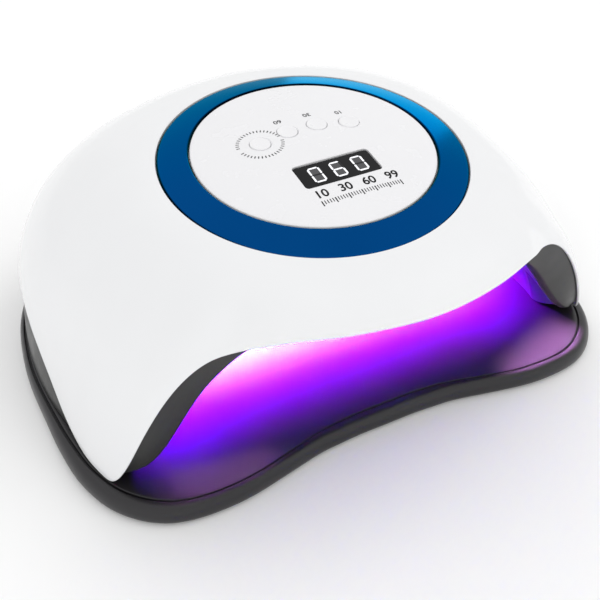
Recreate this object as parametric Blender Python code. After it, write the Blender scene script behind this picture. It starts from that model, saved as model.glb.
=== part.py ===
"""Arched UV/LED nail lamp: a domed white housing that lifts off a magnetic base tray.

The frame is +Z up, +X to the lamp's right as seen from behind the hand opening, and the hand
goes in along +Y. The origin is at the bottom centre of the whole lamp. Lengths in the constants
are millimetres and angles are degrees. Every curved wall is drawn on one polar grid round the
vertical line through the control panel's centre, where angle 0 is the front (-Y).
"""

import math

import bmesh
import bpy
import numpy as np
from mathutils import Matrix, Vector

MM = 0.001
GAP = 0.35                    # clearance between pieces that touch

# Control panel and accent ring, on an axis that leans towards the user.
PANEL_Y, PANEL_Z = -18.8, 100.7
PANEL_TILT = 5.6
PANEL_RADIUS = 50.4
PANEL_CROWN = 4.1             # how far the panel's middle stands above its rim
PANEL_THICK = 2.2
RING_RADIUS = 63.7
RING_DROP = 3.1               # the ring's outer edge lies this far below its inner edge
RING_THICK = 1.8
LEDGE_RADIUS = 46.0           # the shell's ledge under the ring and the panel's rim
LEDGE_DROP = 2.9

# Display and buttons, in the panel's own plane (across, away from the user).
DISPLAY_WIDTH, DISPLAY_HEIGHT = 34.2, 14.1
DISPLAY_AT = (0.0, -19.2)
DISPLAY_RECESS = 0.9
BUTTON_RADIUS = 4.3
BUTTON_TRAVEL = 0.8
SWITCH_TOP = -4.5             # top of the tact switches, in the panel's own frame
BUTTONS = {
    "button_low_heat": (-20.5, 7.9),
    "button_60s": (-6.8, 10.9),
    "button_30s": (6.8, 10.9),
    "button_10s": (20.5, 7.9),
}

# White shell and dark frame.
SHELL_THICK = 2.2
FRAME_THICK = 2.0
FLANGE_THICK = 3.5
FRAME_FOOT_Z = 9.6
LINER_THICK = 1.6
CEILING_Z = 73.0
CEILING_RADIUS = 12.0

# Base tray.
TRAY_BOTTOM = 1.2
TRAY_TOP = 9.2
TRAY_SKIN = 2.7
SEAM_INSET = 5.6              # the groove that follows the tray's rim
FOOT_RADIUS = 7.0
MAGNET_RADIUS, MAGNET_THICK = 4.0, 2.2

# The plan of the tray: radius at each angle from the front.
TRAY_PLAN = (
    (0, 18, 27, 36, 45, 54, 63, 72, 81, 90, 108, 124, 135, 144, 153, 162, 180),
    (65.7, 69.5, 75.5, 87.5, 104.4, 119.5, 127.6, 128.7, 127.0, 126.0, 131.2, 139.6, 143.6, 143.0,
     139.0, 135.0, 131.3),
)
# The shell's lower edge: a high arch over the hand opening that sweeps down into two wing tips.
EDGE_PLAN = (
    (0, 18, 36, 48, 56, 61, 64.5, 68),
    (93.7, 93.2, 95.4, 98.5, 109.5, 118.9, 122.6, 123.4),
)
EDGE_INSET = 5.7
EDGE_HEIGHT = (
    (0, 18, 36, 45, 51, 54, 57, 60, 63, 66, 69, 72, 78, 84, 92, 100, 108, 118, 140, 180),
    (81.0, 79.8, 77.0, 71.6, 66.0, 59.5, 48.5, 32.5, 18.5, 12.0, 10.4, 10.6,
     12.3, 16.2, 24.2, 32.4, 38.2, 41.0, 39.5, 37.5),
)
# The frame's lower edge: the inner arch of the opening, then the skirt's foot.
ARCH_PLAN = (
    (0, 18, 27, 36, 43.5, 49.5, 54.2, 57.4, 60, 63, 66, 69),
    (69.0, 73.5, 77.5, 82.0, 86.4, 92.2, 98.5, 104.6, 112.6, 117.6, 119.6, 120.0),
)
ARCH_HEIGHT = (
    (0, 18, 27, 36, 43.5, 49.5, 54.2, 57.4, 60, 63, 66, 69, 72),
    (71.0, 71.0, 70.8, 70.0, 66.0, 57.2, 46.0, 33.5, 21.0, 16.8, 13.2, 10.3, FRAME_FOOT_Z),
)
SKIRT_INSET = ((66, 86, 104, 180), (8.7, 8.7, 7.8, 7.8))
FLANGE_INSET = 20.5           # the flange's inner edge, inside the tray's plan

LEDS = {                      # angle range, height fraction range up the liner, lenses
    "left": (-128.0, -72.0, 0.36, 0.50, 5),
    "right": (72.0, 128.0, 0.36, 0.50, 5),
    "back": (152.0, 208.0, 0.36, 0.50, 4),
}
CEILING_LENSES = 6
CEILING_SPAN = (0.80, 0.93)
LENS_RADIUS = 3.1

SCREW_ANGLES = (-138.0, -94.0, 94.0, 138.0)
MAGNET_ANGLES = (-120.0, -80.0, 80.0, 120.0)
FOOT_ANGLES = (-140.0, -56.0, 56.0, 140.0)
FOOT_INSET = 26.0             # feet, magnets and screws sit this far inside the tray's plan
MAGNET_INSET = 15.0
SCREW_INSET = 16.4
BOSS_RADIUS = 3.0
JACK_Z = 24.0
JACK_RADIUS = 5.0
SENSOR_ANGLES = (-68.0, 68.0)
SENSOR_LEVEL = 0.2


# ---------------------------------------------------------------- curves and surfaces

def smooth(curve, at):
    """A smooth curve through knots (x, y), level at both ends, read at the places given."""
    x, y = (np.asarray(values, float) for values in curve)
    step = np.diff(x)
    slope = np.diff(y) / step
    inner = (step[1:] * slope[:-1] + step[:-1] * slope[1:]) / (step[1:] + step[:-1])
    tangent = np.concatenate([[0.0], inner, [0.0]])
    at = np.clip(np.asarray(at, float), x[0], x[-1])
    k = np.clip(np.searchsorted(x, at, side="right") - 1, 0, len(step) - 1)
    t = (at - x[k]) / step[k]
    rise = y[k] * (1 + 2 * t) * (1 - t) ** 2 + y[k + 1] * t * t * (3 - 2 * t)
    return rise + step[k] * (tangent[k] * t * (1 - t) ** 2 - tangent[k + 1] * t * t * (1 - t))


def bend(curve, at):
    """A smooth curve through knots (x, y) that leaves its two ends straight towards the next knot."""
    x, y = (np.asarray(values, float) for values in curve)
    slope = np.diff(y) / np.diff(x)
    tangent = np.concatenate([slope[:1], (slope[1:] + slope[:-1]) / 2, slope[-1:]])
    k = np.clip(np.searchsorted(x, at, side="right") - 1, 0, len(slope) - 1)
    step = x[k + 1] - x[k]
    t = (at - x[k]) / step
    rise = y[k] * (1 + 2 * t) * (1 - t) ** 2 + y[k + 1] * t * t * (3 - 2 * t)
    return rise + step * (tangent[k] * t * (1 - t) ** 2 - tangent[k + 1] * t * t * (1 - t))


def fade(angle, start, end):
    """0 before start, 1 after end, with a soft change between."""
    t = np.clip((np.asarray(angle, float) - start) / (end - start), 0, 1)
    return t * t * (3 - 2 * t)


def away(angle):
    """Unit vectors that point away from the panel's vertical line, at angles from the front."""
    a = np.radians(angle)
    return np.stack([np.sin(a), -np.cos(a), np.zeros_like(a)], -1)


def polar(angle, radius, height):
    """Points at angles from the front, radii and heights."""
    spot = away(angle) * np.asarray(radius, float)[..., None]
    spot[..., 1] += PANEL_Y
    spot[..., 2] = height
    return spot


def panel_axes():
    """The panel's across, away-from-user and outward directions."""
    t = math.radians(PANEL_TILT)
    return (np.array([1.0, 0.0, 0.0]), np.array([0.0, math.cos(t), math.sin(t)]),
            np.array([0.0, -math.sin(t), math.cos(t)]))


def on_panel(across, along, out):
    """A point given in the panel's own plane, in the lamp's frame."""
    u, v, n = panel_axes()
    return np.array([0.0, PANEL_Y, PANEL_Z]) + across * u + along * v + out * n


def panel_height(radius):
    """How far the domed panel stands above its rim's plane."""
    return PANEL_CROWN * (1 - (radius / PANEL_RADIUS) ** 2)


def from_front(angle):
    """The size of an angle from the front, 0 to 180, whichever way round it is given."""
    return np.abs((np.asarray(angle, float) + 180) % 360 - 180)


def tray_radius(angle):
    return smooth(TRAY_PLAN, from_front(angle))


def shell_edge(angle):
    """The shell's lower edge."""
    a = from_front(angle)
    blend = fade(a, 66, 70)
    radius = (1 - blend) * smooth(EDGE_PLAN, a) + blend * (tray_radius(a) - EDGE_INSET)
    return polar(angle, radius, smooth(EDGE_HEIGHT, a))


def frame_edge(angle):
    """The frame's lower edge: the opening's inner arch, then the foot of the skirt."""
    a = from_front(angle)
    blend = fade(a, 66, 70)
    radius = (1 - blend) * smooth(ARCH_PLAN, a) + blend * (tray_radius(a) - smooth(SKIRT_INSET, a))
    return polar(angle, radius, smooth(ARCH_HEIGHT, a))


def bezier(p0, p1, p2, p3, u):
    u = np.asarray(u, float)[:, None, None]
    return (1 - u) ** 3 * p0 + 3 * (1 - u) ** 2 * u * p1 + 3 * (1 - u) * u * u * p2 + u ** 3 * p3


def unit(vectors):
    return vectors / np.linalg.norm(vectors, axis=-1, keepdims=True)


def shell_surface(angle, u):
    """The shell's outside, from the accent ring (u = 0) down to its lower edge (u = 1)."""
    a = from_front(angle)
    across, along, out = panel_axes()
    spread = np.sin(np.radians(angle))[:, None] * across - np.cos(np.radians(angle))[:, None] * along
    top = on_panel(0, 0, -RING_DROP) + (RING_RADIUS + GAP) * spread
    bottom = shell_edge(angle)
    lean = math.radians(8.5)
    start = spread * math.cos(lean) - out * math.sin(lean)
    drop = np.radians(np.interp(a, (0, 60, 180), (40, 82, 80)))[:, None]
    end = away(angle) * np.cos(drop) - np.array([0.0, 0.0, 1.0]) * np.sin(drop)
    span = np.linalg.norm(bottom - top, axis=1)[:, None]
    early = np.interp(a, (0, 90, 180), (0.37, 0.37, 0.41))[:, None]
    late = np.interp(a, (0, 90, 180), (0.41, 0.2, 0.41))[:, None]
    return bezier(top, top + start * span * early, bottom - end * span * late, bottom, u)


def liner_surface(angle, u):
    """The cavity side of the reflector, from its lower edge (u = 0) to the ceiling (u = 1)."""
    side = fade(from_front(angle), 58, 72)[:, None]
    high = polar(angle, np.full_like(angle, CEILING_RADIUS), CEILING_Z)
    rim = frame_rim(angle)[2]
    low = rim - away(angle) * (LINER_THICK + 1.4) * side + np.array([0.0, 2.0, 0.0]) * (1 - side)
    reach = np.linalg.norm((low - high)[:, :2], axis=1)[:, None]
    steep = fade(from_front(angle), 40, 92)[:, None]
    climb = np.array([0.0, 0.0, 0.78]) * (CEILING_Z - low[:, 2:]) * steep
    ahead = np.array([0.0, 0.4, 0.0]) * reach * (1 - steep)
    return bezier(low, low + climb + ahead, high + away(angle) * reach * 0.55, high, u)


def flange_thick(angle):
    """The flange is thin round the opening and thick enough for screws and magnets along the skirt."""
    return (FRAME_THICK + (FLANGE_THICK - FRAME_THICK) * fade(from_front(angle), 68, 75))[:, None]


def frame_rim(angle):
    """The frame's foot, the direction away from the chamber there, and its flange's inner corners."""
    edge = frame_edge(angle)
    ahead = frame_edge(angle + 0.25)
    behind = frame_edge(angle - 0.25)
    up = unit(np.cross(unit(ahead - behind), away(angle)))
    up = up * np.sign(up[:, 2:] + 1e-9)
    a = from_front(angle)
    width = 2.6 + (FLANGE_INSET - smooth(SKIRT_INSET, a) - 2.6) * fade(a, 62, 72)
    inner = edge - away(angle) * width[:, None]
    return edge, up, inner, inner + up * flange_thick(angle)


def normals(grid, around=True):
    """Unit normals of a grid of points whose rows run down its outer side."""
    down = np.gradient(grid, axis=0)
    if around:
        side = np.roll(grid, -1, axis=1) - np.roll(grid, 1, axis=1)
    else:
        side = np.gradient(grid, axis=1)
    return unit(np.cross(down, side))


def liner_spot(angle, u):
    """Points on the liner's cavity side and the directions that point away from the cavity."""
    def spot(turn, level):
        return liner_surface(turn, np.array([level]))[0]

    climb = spot(angle, min(u + 0.02, 1.0)) - spot(angle, u - 0.02)
    side = spot(angle + 0.5, u) - spot(angle - 0.5, u)
    return spot(angle, u), unit(np.cross(side, climb))


def angles():
    """Angles all round, closest together where the arch sweeps into the wing tips."""
    half = np.concatenate([
        np.linspace(0, 44, 5, endpoint=False),
        np.linspace(44, 74, 13, endpoint=False),
        np.linspace(74, 122, 6, endpoint=False),
        np.linspace(122, 180, 9),
    ])
    return np.concatenate([-half[:0:-1], half[:-1]])


# ---------------------------------------------------------------- making objects

def material(name, color, roughness, metallic=0.0):
    made = bpy.data.materials.new(name)
    made.use_nodes = True
    shader = made.node_tree.nodes["Principled BSDF"]
    shader.inputs["Base Color"].default_value = (*color, 1.0)
    shader.inputs["Roughness"].default_value = roughness
    shader.inputs["Metallic"].default_value = metallic
    return made


def place(mesh_builder, name, look, smooth_angle=35.0):
    """An object from a finished bmesh, with faces turned outwards."""
    bmesh.ops.recalc_face_normals(mesh_builder, faces=mesh_builder.faces)
    mesh = bpy.data.meshes.new(name)
    mesh_builder.to_mesh(mesh)
    mesh_builder.free()
    mesh.shade_smooth()
    mesh.set_sharp_from_angle(angle=math.radians(smooth_angle))
    piece = bpy.data.objects.new(name, mesh)
    bpy.context.scene.collection.objects.link(piece)
    if look is not None:
        mesh.materials.append(look)
    return piece


def loft(name, rows, look, closed=True):
    """A solid from rows of points: a closed band, or a solid capped on its first and last row."""
    bm = bmesh.new()
    lines = [[bm.verts.new(Vector(p) * MM) for p in row] for row in rows]
    count = len(lines[0])
    pairs = list(zip(lines, lines[1:]))
    if closed:
        pairs.append((lines[-1], lines[0]))
    for low, high in pairs:
        for i in range(count):
            j = (i + 1) % count
            bm.faces.new((low[i], low[j], high[j], high[i]))
    if not closed:
        bm.faces.new(lines[0])
        bm.faces.new(lines[-1][::-1])
    return place(bm, name, look)


def slab(name, front, back, look):
    """A curved plate between two grids of points that face each other."""
    bm = bmesh.new()
    sides = [[[bm.verts.new(Vector(p) * MM) for p in row] for row in grid] for grid in (front, back)]
    rows, columns = front.shape[:2]
    for side in sides:
        for i in range(rows - 1):
            for j in range(columns - 1):
                bm.faces.new((side[i][j], side[i][j + 1], side[i + 1][j + 1], side[i + 1][j]))
    rim = ([(0, j) for j in range(columns)] + [(i, columns - 1) for i in range(1, rows)]
           + [(rows - 1, j) for j in range(columns - 2, -1, -1)] + [(i, 0) for i in range(rows - 2, 0, -1)])
    for (a, b), (c, d) in zip(rim, rim[1:] + rim[:1]):
        bm.faces.new((sides[0][a][b], sides[0][c][d], sides[1][c][d], sides[1][a][b]))
    return place(bm, name, look)


def turned(name, profile, look, seat=None, segments=16):
    """A solid turned round its own +Z from (radius, height) points, starting and ending on the axis."""
    bm = bmesh.new()
    rings = []
    for radius, height in profile:
        if radius == 0:
            rings.append([bm.verts.new((0, 0, height * MM))])
        else:
            rings.append([
                bm.verts.new((radius * MM * math.cos(2 * math.pi * k / segments),
                              radius * MM * math.sin(2 * math.pi * k / segments), height * MM))
                for k in range(segments)])
    for low, high in zip(rings, rings[1:]):
        for k in range(segments):
            j = (k + 1) % segments
            corners = [low[k % len(low)], low[j % len(low)], high[j % len(high)], high[k % len(high)]]
            bm.faces.new(list(dict.fromkeys(corners)))
    piece = place(bm, name, look)
    if seat is not None:
        piece.matrix_world = seat
    return piece


def turned_ring(name, profile, look, seat, segments=48):
    """A ring turned round its own +Z from a closed outline of (radius, height) points."""
    bm = bmesh.new()
    turns = [2 * math.pi * k / segments for k in range(segments)]
    lines = [[bm.verts.new((r * MM * math.cos(t), r * MM * math.sin(t), z * MM)) for t in turns]
             for r, z in profile]
    for low, high in zip(lines, lines[1:] + lines[:1]):
        for k in range(segments):
            j = (k + 1) % segments
            bm.faces.new((low[k], low[j], high[j], high[k]))
    piece = place(bm, name, look)
    piece.matrix_world = seat
    return piece


def block(name, size, look, seat, bevel=0.0):
    """A box centred on its seat, with rounded edges."""
    bm = bmesh.new()
    bmesh.ops.create_cube(bm, size=1.0)
    bmesh.ops.scale(bm, vec=Vector(size) * MM, verts=bm.verts)
    if bevel:
        bmesh.ops.bevel(bm, geom=bm.edges, offset=bevel * MM, segments=2, profile=0.5, affect="EDGES")
    piece = place(bm, name, look)
    piece.matrix_world = seat
    return piece


def seat_at(point, up=(0, 0, 1), across=(1, 0, 0)):
    """A matrix at a point, with +Z along up and +X as near across as it can be."""
    z = Vector(up).normalized()
    x = (Vector(across) - z * Vector(across).dot(z)).normalized()
    y = z.cross(x)
    turn = Matrix((x, y, z)).transposed().to_4x4()
    return Matrix.Translation(Vector(point) * MM) @ turn


def panel_seat(across=0.0, along=0.0, out=0.0, tip=0.0):
    """A seat in the panel's plane; tip leans its +Z further away from the user."""
    _, v, n = panel_axes()
    lean = math.radians(tip)
    up = n * math.cos(lean) + v * math.sin(lean)
    return seat_at(on_panel(across, along, out), up)


def peg(radius, low, high, seat, segments=12):
    """A plain cylinder along a seat's +Z, for joining to or cutting from a piece."""
    return turned("shape", [(0, low), (radius, low), (radius, high), (0, high)], None, seat, segments)


def combine(piece, shapes, operation, solver="EXACT"):
    """Join shapes to a piece, or cut them out of it, and drop the shapes."""
    for shape in shapes:
        change = piece.modifiers.new(operation.lower(), "BOOLEAN")
        change.operation = operation
        change.object = shape
        change.solver = solver
        bpy.context.view_layer.update()
        ready = bpy.context.evaluated_depsgraph_get()
        made = bpy.data.meshes.new_from_object(piece.evaluated_get(ready))
        piece.modifiers.clear()
        piece.data = made
        bpy.data.objects.remove(shape)
    piece.data.set_sharp_from_angle(angle=math.radians(35.0))


# ---------------------------------------------------------------- base tray

def tray_spot(angle, inset, height):
    """One place on the lamp, by angle and by distance inside the tray's plan."""
    return polar(np.array([angle]), tray_radius(np.array([angle])) - inset, height)[0]


def base_tray():
    turn = angles()
    radius = tray_radius(turn)
    under = TRAY_TOP - TRAY_SKIN
    profile = (
        (26.0, under), (8.6, under), (7.2, TRAY_BOTTOM), (3.0, TRAY_BOTTOM), (0.4, 2.4), (0.0, 5.2),
        (1.1, 7.6), (2.8, 8.8), (SEAM_INSET - 0.8, 9.0), (SEAM_INSET, 7.4), (SEAM_INSET + 0.8, 9.0),
        (26.0, TRAY_TOP),
    )
    tray = loft("base_tray", [polar(turn, radius - inset, z) for inset, z in profile],
                look_dark, closed=False)
    pads = [peg(9.0, 2.0, under + 1.0, seat_at(tray_spot(a, FOOT_INSET, 0.0))) for a in FOOT_ANGLES]
    cups = [peg(5.6, 3.0, under + 1.0, seat_at(tray_spot(a, MAGNET_INSET, 0.0))) for a in MAGNET_ANGLES]
    combine(tray, pads + cups, "UNION")
    sockets = [peg(FOOT_RADIUS + GAP, 0.0, 3.2, seat_at(tray_spot(a, FOOT_INSET, 0.0)))
               for a in FOOT_ANGLES]
    wells = [peg(MAGNET_RADIUS + GAP, 0.0, 6.4, seat_at(tray_spot(a, MAGNET_INSET, 0.0)))
             for a in MAGNET_ANGLES]
    combine(tray, sockets + wells, "DIFFERENCE")


def tray_hardware():
    for number, angle in enumerate(FOOT_ANGLES, 1):
        pad = [(0, 0), (6.2, 0), (FOOT_RADIUS, 0.8), (FOOT_RADIUS, 2.85), (0, 2.85)]
        turned(f"rubber_foot_{number}", pad, look_rubber, seat_at(tray_spot(angle, FOOT_INSET, 0.0)))
    for number, angle in enumerate(MAGNET_ANGLES, 1):
        puck = [(0, 0), (MAGNET_RADIUS, 0), (MAGNET_RADIUS, MAGNET_THICK), (0, MAGNET_THICK)]
        turned(f"tray_magnet_{number}", puck, look_steel, seat_at(tray_spot(angle, MAGNET_INSET, 3.8)))
        turned(f"housing_magnet_{number}", puck, look_steel,
               seat_at(tray_spot(angle, MAGNET_INSET, FRAME_FOOT_Z + 1.3)))


# ---------------------------------------------------------------- housing

def top_shell():
    turn = angles()
    outside = shell_surface(turn, np.linspace(0, 1, 8))
    inside = outside - normals(outside) * SHELL_THICK
    across, along, up = panel_axes()
    spread = np.sin(np.radians(turn))[:, None] * across - np.cos(np.radians(turn))[:, None] * along

    def ledge(radius, depth):
        return on_panel(0, 0, -depth) + radius * spread

    rows = [ledge(LEDGE_RADIUS, LEDGE_DROP), ledge(52.0, LEDGE_DROP), ledge(RING_RADIUS + GAP, 5.6)]
    rows += list(outside)
    rows += list(inside[:1:-1])
    rows += [ledge(63.0, 7.6), ledge(LEDGE_RADIUS, LEDGE_DROP + 2.0)]
    shell = loft("top_shell", rows, look_white)
    bosses, bores = [], []
    for angle in SCREW_ANGLES:
        seat = seat_at(tray_spot(angle, SCREW_INSET, 0.0))
        roof = boss_top(angle)
        bosses.append(peg(BOSS_RADIUS, FRAME_FOOT_Z + FLANGE_THICK + GAP, roof, seat))
        bores.append(peg(1.35, FRAME_FOOT_Z + FLANGE_THICK - 1.0, FRAME_FOOT_Z + 15.0, seat))
    combine(shell, bosses, "UNION", "MANIFOLD")
    combine(shell, bores, "DIFFERENCE", "MANIFOLD")


def boss_top(angle):
    """The height at which a screw boss is buried in the shell's wall above it."""
    wall = shell_surface(np.array([angle]), np.linspace(0, 1, 60))[:, 0]
    distance = np.hypot(wall[:, 0], wall[:, 1] - PANEL_Y)
    outer_side = tray_radius(angle) - SCREW_INSET + BOSS_RADIUS
    return float(np.interp(outer_side, distance, wall[:, 2])) - 1.2


def accent_ring():
    inner, outer = PANEL_RADIUS + GAP, RING_RADIUS
    slope = RING_DROP / (outer - inner)
    outline = [(inner, -0.2), (inner + 1.0, 0.1)]
    for step in np.linspace(0, outer - inner - 2.0, 4)[1:]:
        outline.append((inner + 1.0 + step, 0.1 - slope * step * 0.92))
    outline += [(outer, -RING_DROP - 0.4), (outer, -RING_DROP - RING_THICK), (52.0, -LEDGE_DROP + GAP),
                (inner, -LEDGE_DROP + GAP)]
    turned_ring("accent_ring", outline, look_blue, panel_seat())


def control_panel():
    steps = [PANEL_RADIUS * k / 5 for k in range(1, 6)]
    profile = [(0, PANEL_CROWN)] + [(r, panel_height(r)) for r in steps[:-1]]
    profile += [(PANEL_RADIUS - 0.5, 0.05), (PANEL_RADIUS, -0.5), (PANEL_RADIUS, -LEDGE_DROP + GAP),
                (LEDGE_RADIUS - GAP, -LEDGE_DROP + GAP)]
    profile += [(r, panel_height(r) - PANEL_THICK) for r in (40.0, 20.0)]
    profile += [(0, PANEL_CROWN - PANEL_THICK)]
    panel = turned("control_panel", profile, look_white, panel_seat(), 40)
    posts = [peg(2.6, -7.9, 1.0, panel_seat(x, y)) for x, y in board_posts()]
    combine(panel, posts, "UNION")
    tip = display_tip()
    mouth = block("shape", (DISPLAY_WIDTH, DISPLAY_HEIGHT, 12.0), None,
                  panel_seat(*DISPLAY_AT, panel_height(DISPLAY_AT[1]), tip))
    holes = [peg(BUTTON_RADIUS + GAP, -3.0, 8.0, panel_seat(x, y), 16) for x, y in BUTTONS.values()]
    pilots = [peg(0.9, -9.0, -1.5, panel_seat(x, y), 12) for x, y in board_posts()]
    combine(panel, [mouth] + holes + pilots, "DIFFERENCE")


def display_tip():
    """How far the domed panel leans at the display, in degrees."""
    return -math.degrees(math.atan(-2 * PANEL_CROWN * DISPLAY_AT[1] / PANEL_RADIUS ** 2))


def board_posts():
    reach = 25.5
    return [(sx * reach, sy * reach) for sx in (-1, 1) for sy in (-1, 1)]


def control_parts():
    """The display, the board behind the panel and what is soldered to it."""
    tip = display_tip()
    face = panel_height(DISPLAY_AT[1]) - DISPLAY_RECESS
    block("display_window", (DISPLAY_WIDTH - 2 * GAP, DISPLAY_HEIGHT - 2 * GAP, 1.2), look_smoked,
          panel_seat(*DISPLAY_AT, face - 0.6, tip), 0.2)
    block("display_module", (31.0, 12.0, 7.0), look_module, panel_seat(*DISPLAY_AT, -4.2), 0.3)
    board = turned("control_board", [(0, -9.8), (40.0, -9.8), (40.0, -8.2), (0, -8.2)], look_board,
                   panel_seat(), 32)
    drills = [peg(1.3, -11.0, -7.0, panel_seat(x, y), 12) for x, y in board_posts()]
    combine(board, drills, "DIFFERENCE")
    for number, (x, y) in enumerate(board_posts(), 1):
        turned(f"board_screw_{number}",
               [(0, -11.8), (1.9, -11.8), (2.2, -11.2), (2.2, -10.15), (0.6, -10.1), (0.6, -4.0), (0, -4.0)],
               look_steel, panel_seat(x, y), 12)
    for name, (x, y) in BUTTONS.items():
        key = name.replace("button", "switch")
        block(key, (6.0, 6.0, 3.4), look_module, panel_seat(x, y, SWITCH_TOP - 1.7), 0.3)
    can = [(0, -18.0), (3.6, -18.0), (4.0, -17.5), (4.0, -10.2), (0, -10.2)]
    turned("power_capacitor", can, look_steel, panel_seat(10.0, 14.0), 16)
    block("driver_chip", (8.0, 6.0, 1.6), look_module, panel_seat(-6.0, 10.0, -10.9), 0.2)


def buttons():
    for name, (x, y) in BUTTONS.items():
        face = panel_height(math.hypot(x, y)) + 0.25
        flange = face - 0.25 - PANEL_THICK - 0.9
        foot = SWITCH_TOP + BUTTON_TRAVEL + 0.5
        profile = [(0, foot), (1.5, foot), (1.5, flange - 1.0), (BUTTON_RADIUS + 1.1, flange - 1.0),
                   (BUTTON_RADIUS + 1.1, flange), (BUTTON_RADIUS, flange), (BUTTON_RADIUS, face - 0.5),
                   (BUTTON_RADIUS - 0.15, face - 0.15), (BUTTON_RADIUS - 0.5, face), (0, face - 0.25)]
        turned(name, profile, look_button, panel_seat(x, y), 16)


def lower_frame():
    turn = angles()
    a = from_front(turn)
    wall = shell_surface(turn, np.linspace(0, 1, 41))
    out = normals(wall)
    tuck = np.interp(a, (0, 56, 64, 84, 100, 180), (1.0, 1.5, 9.0, 9.0, 7.0, 7.0))
    length = np.linalg.norm(wall[-1] - wall[-4], axis=1) / 3
    back = np.clip(np.round(tuck / np.maximum(length, 0.2)).astype(int), 1, 10)
    pick = 40 - back
    column = np.arange(len(turn))
    clear = SHELL_THICK + GAP + 0.3 + (FRAME_THICK + 0.2) * (1 - fade(a, 44, 54))
    start = wall[pick, column] - out[pick, column] * clear[:, None]
    edge, up, inner, inner_over = frame_rim(turn)
    span = np.linalg.norm(edge - start, axis=1)[:, None]
    along_wall = unit(wall[-1] - wall[pick, column])
    to_edge = unit(edge - start)
    side = fade(a, 60, 70)[:, None]
    first = unit(side * along_wall + (1 - side) * to_edge)
    rise = unit(side * np.array([0.0, 0.0, 1.0]) + (1 - side) * -to_edge)
    skin = bezier(start, start + first * span * 0.33, edge + rise * span * 0.33, edge, np.linspace(0, 1, 5))
    hidden = skin - normals(skin) * FRAME_THICK
    corner = edge + up * flange_thick(turn) - away(turn) * FRAME_THICK * side
    rows = list(skin) + [inner, inner_over, corner] + list(hidden[2::-1])
    frame = loft("lower_frame", rows, look_dark)
    top = FRAME_FOOT_Z + FLANGE_THICK
    cuts = []
    for angle in MAGNET_ANGLES:
        cuts.append(peg(MAGNET_RADIUS + GAP, FRAME_FOOT_Z + 1.0, top + 1.0,
                        seat_at(tray_spot(angle, MAGNET_INSET, 0.0))))
    for angle in SCREW_ANGLES:
        seat = seat_at(tray_spot(angle, SCREW_INSET, 0.0))
        outline = [(0, 8.0), (3.1, 8.0), (3.1, FRAME_FOOT_Z + 1.7), (1.7, FRAME_FOOT_Z + 1.7),
                   (1.7, top + 1.0), (0, top + 1.0)]
        cuts.append(turned("shape", outline, None, seat, 16))
    cuts.append(peg(JACK_RADIUS + GAP, -7.0, 4.0, jack_seat()))
    combine(frame, cuts, "DIFFERENCE")


def jack_seat():
    """The power socket's place on the back of the skirt, with +Z pointing out of its mouth."""
    back = PANEL_Y + tray_radius(180.0) - smooth(SKIRT_INSET, 180.0)
    return seat_at((0.0, back, JACK_Z), (0, 1, 0))


def power_jack():
    barrel = [(0, -10.0), (JACK_RADIUS, -10.0), (JACK_RADIUS, 1.6), (4.4, 2.2), (2.9, 2.2), (2.9, -6.5),
              (1.0, -6.5), (1.0, 0.2), (0, 0.5)]
    turned("dc_jack", barrel, look_module, jack_seat(), 24)
    bore = JACK_RADIUS + 0.3
    nut = [(bore, 0.5), (7.4, 0.5), (7.4, 1.3), (6.9, 1.7), (bore, 1.7)]
    turned_ring("jack_nut", nut, look_module, jack_seat(), 24)


def housing_screws():
    low = FRAME_FOOT_Z + 0.3
    for number, angle in enumerate(SCREW_ANGLES, 1):
        outline = [(0, low + 0.4), (0.9, low), (2.4, low), (2.7, low + 0.3), (2.7, low + 1.1),
                   (1.15, low + 1.1), (1.15, low + 12.0), (0, low + 12.8)]
        seat = seat_at(tray_spot(angle, SCREW_INSET, 0.0))
        turned(f"housing_screw_{number}", outline, look_steel, seat, 14)


def lens_shape(angle, u, radius, tip, root):
    """A round-nosed lens on the liner, from behind it (root) to inside the cavity (tip)."""
    point, out = liner_spot(np.array([float(angle)]), u)
    outline = [(0, tip), (radius * 0.75, tip + radius * 0.15), (radius, tip + radius * 0.45),
               (radius, root), (0, root)]
    return turned("shape", outline, None, seat_at(point[0], out[0]), 10)


def lens_places(name):
    """The angles and the height fraction of one strip's lenses."""
    if name == "ceiling":
        return [360.0 * (k + 0.5) / CEILING_LENSES for k in range(CEILING_LENSES)], sum(CEILING_SPAN) / 2
    start, end, low, high, count = LEDS[name]
    margin = (end - start) / count / 2
    return list(np.linspace(start + margin, end - margin, count)), (low + high) / 2


def strip(name, look, near, far, part):
    """A curved strip behind the liner, between two distances from its cavity side."""
    if name == "ceiling":
        turn = np.linspace(-180, 180, 36, endpoint=False)
        levels = np.linspace(*CEILING_SPAN, 3)
    else:
        start, end, low, high, _ = LEDS[name]
        turn = np.linspace(start, end, 11)
        levels = np.linspace(low, high, 3)
    front, back = [], []
    for level in levels:
        point, out = liner_spot(turn, level)
        front.append(point + out * near)
        back.append(point + out * far)
    if name == "ceiling":
        return loft(f"{part}_{name}", front + back[::-1], look)
    return slab(f"{part}_{name}", np.array(front), np.array(back), look)


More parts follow.
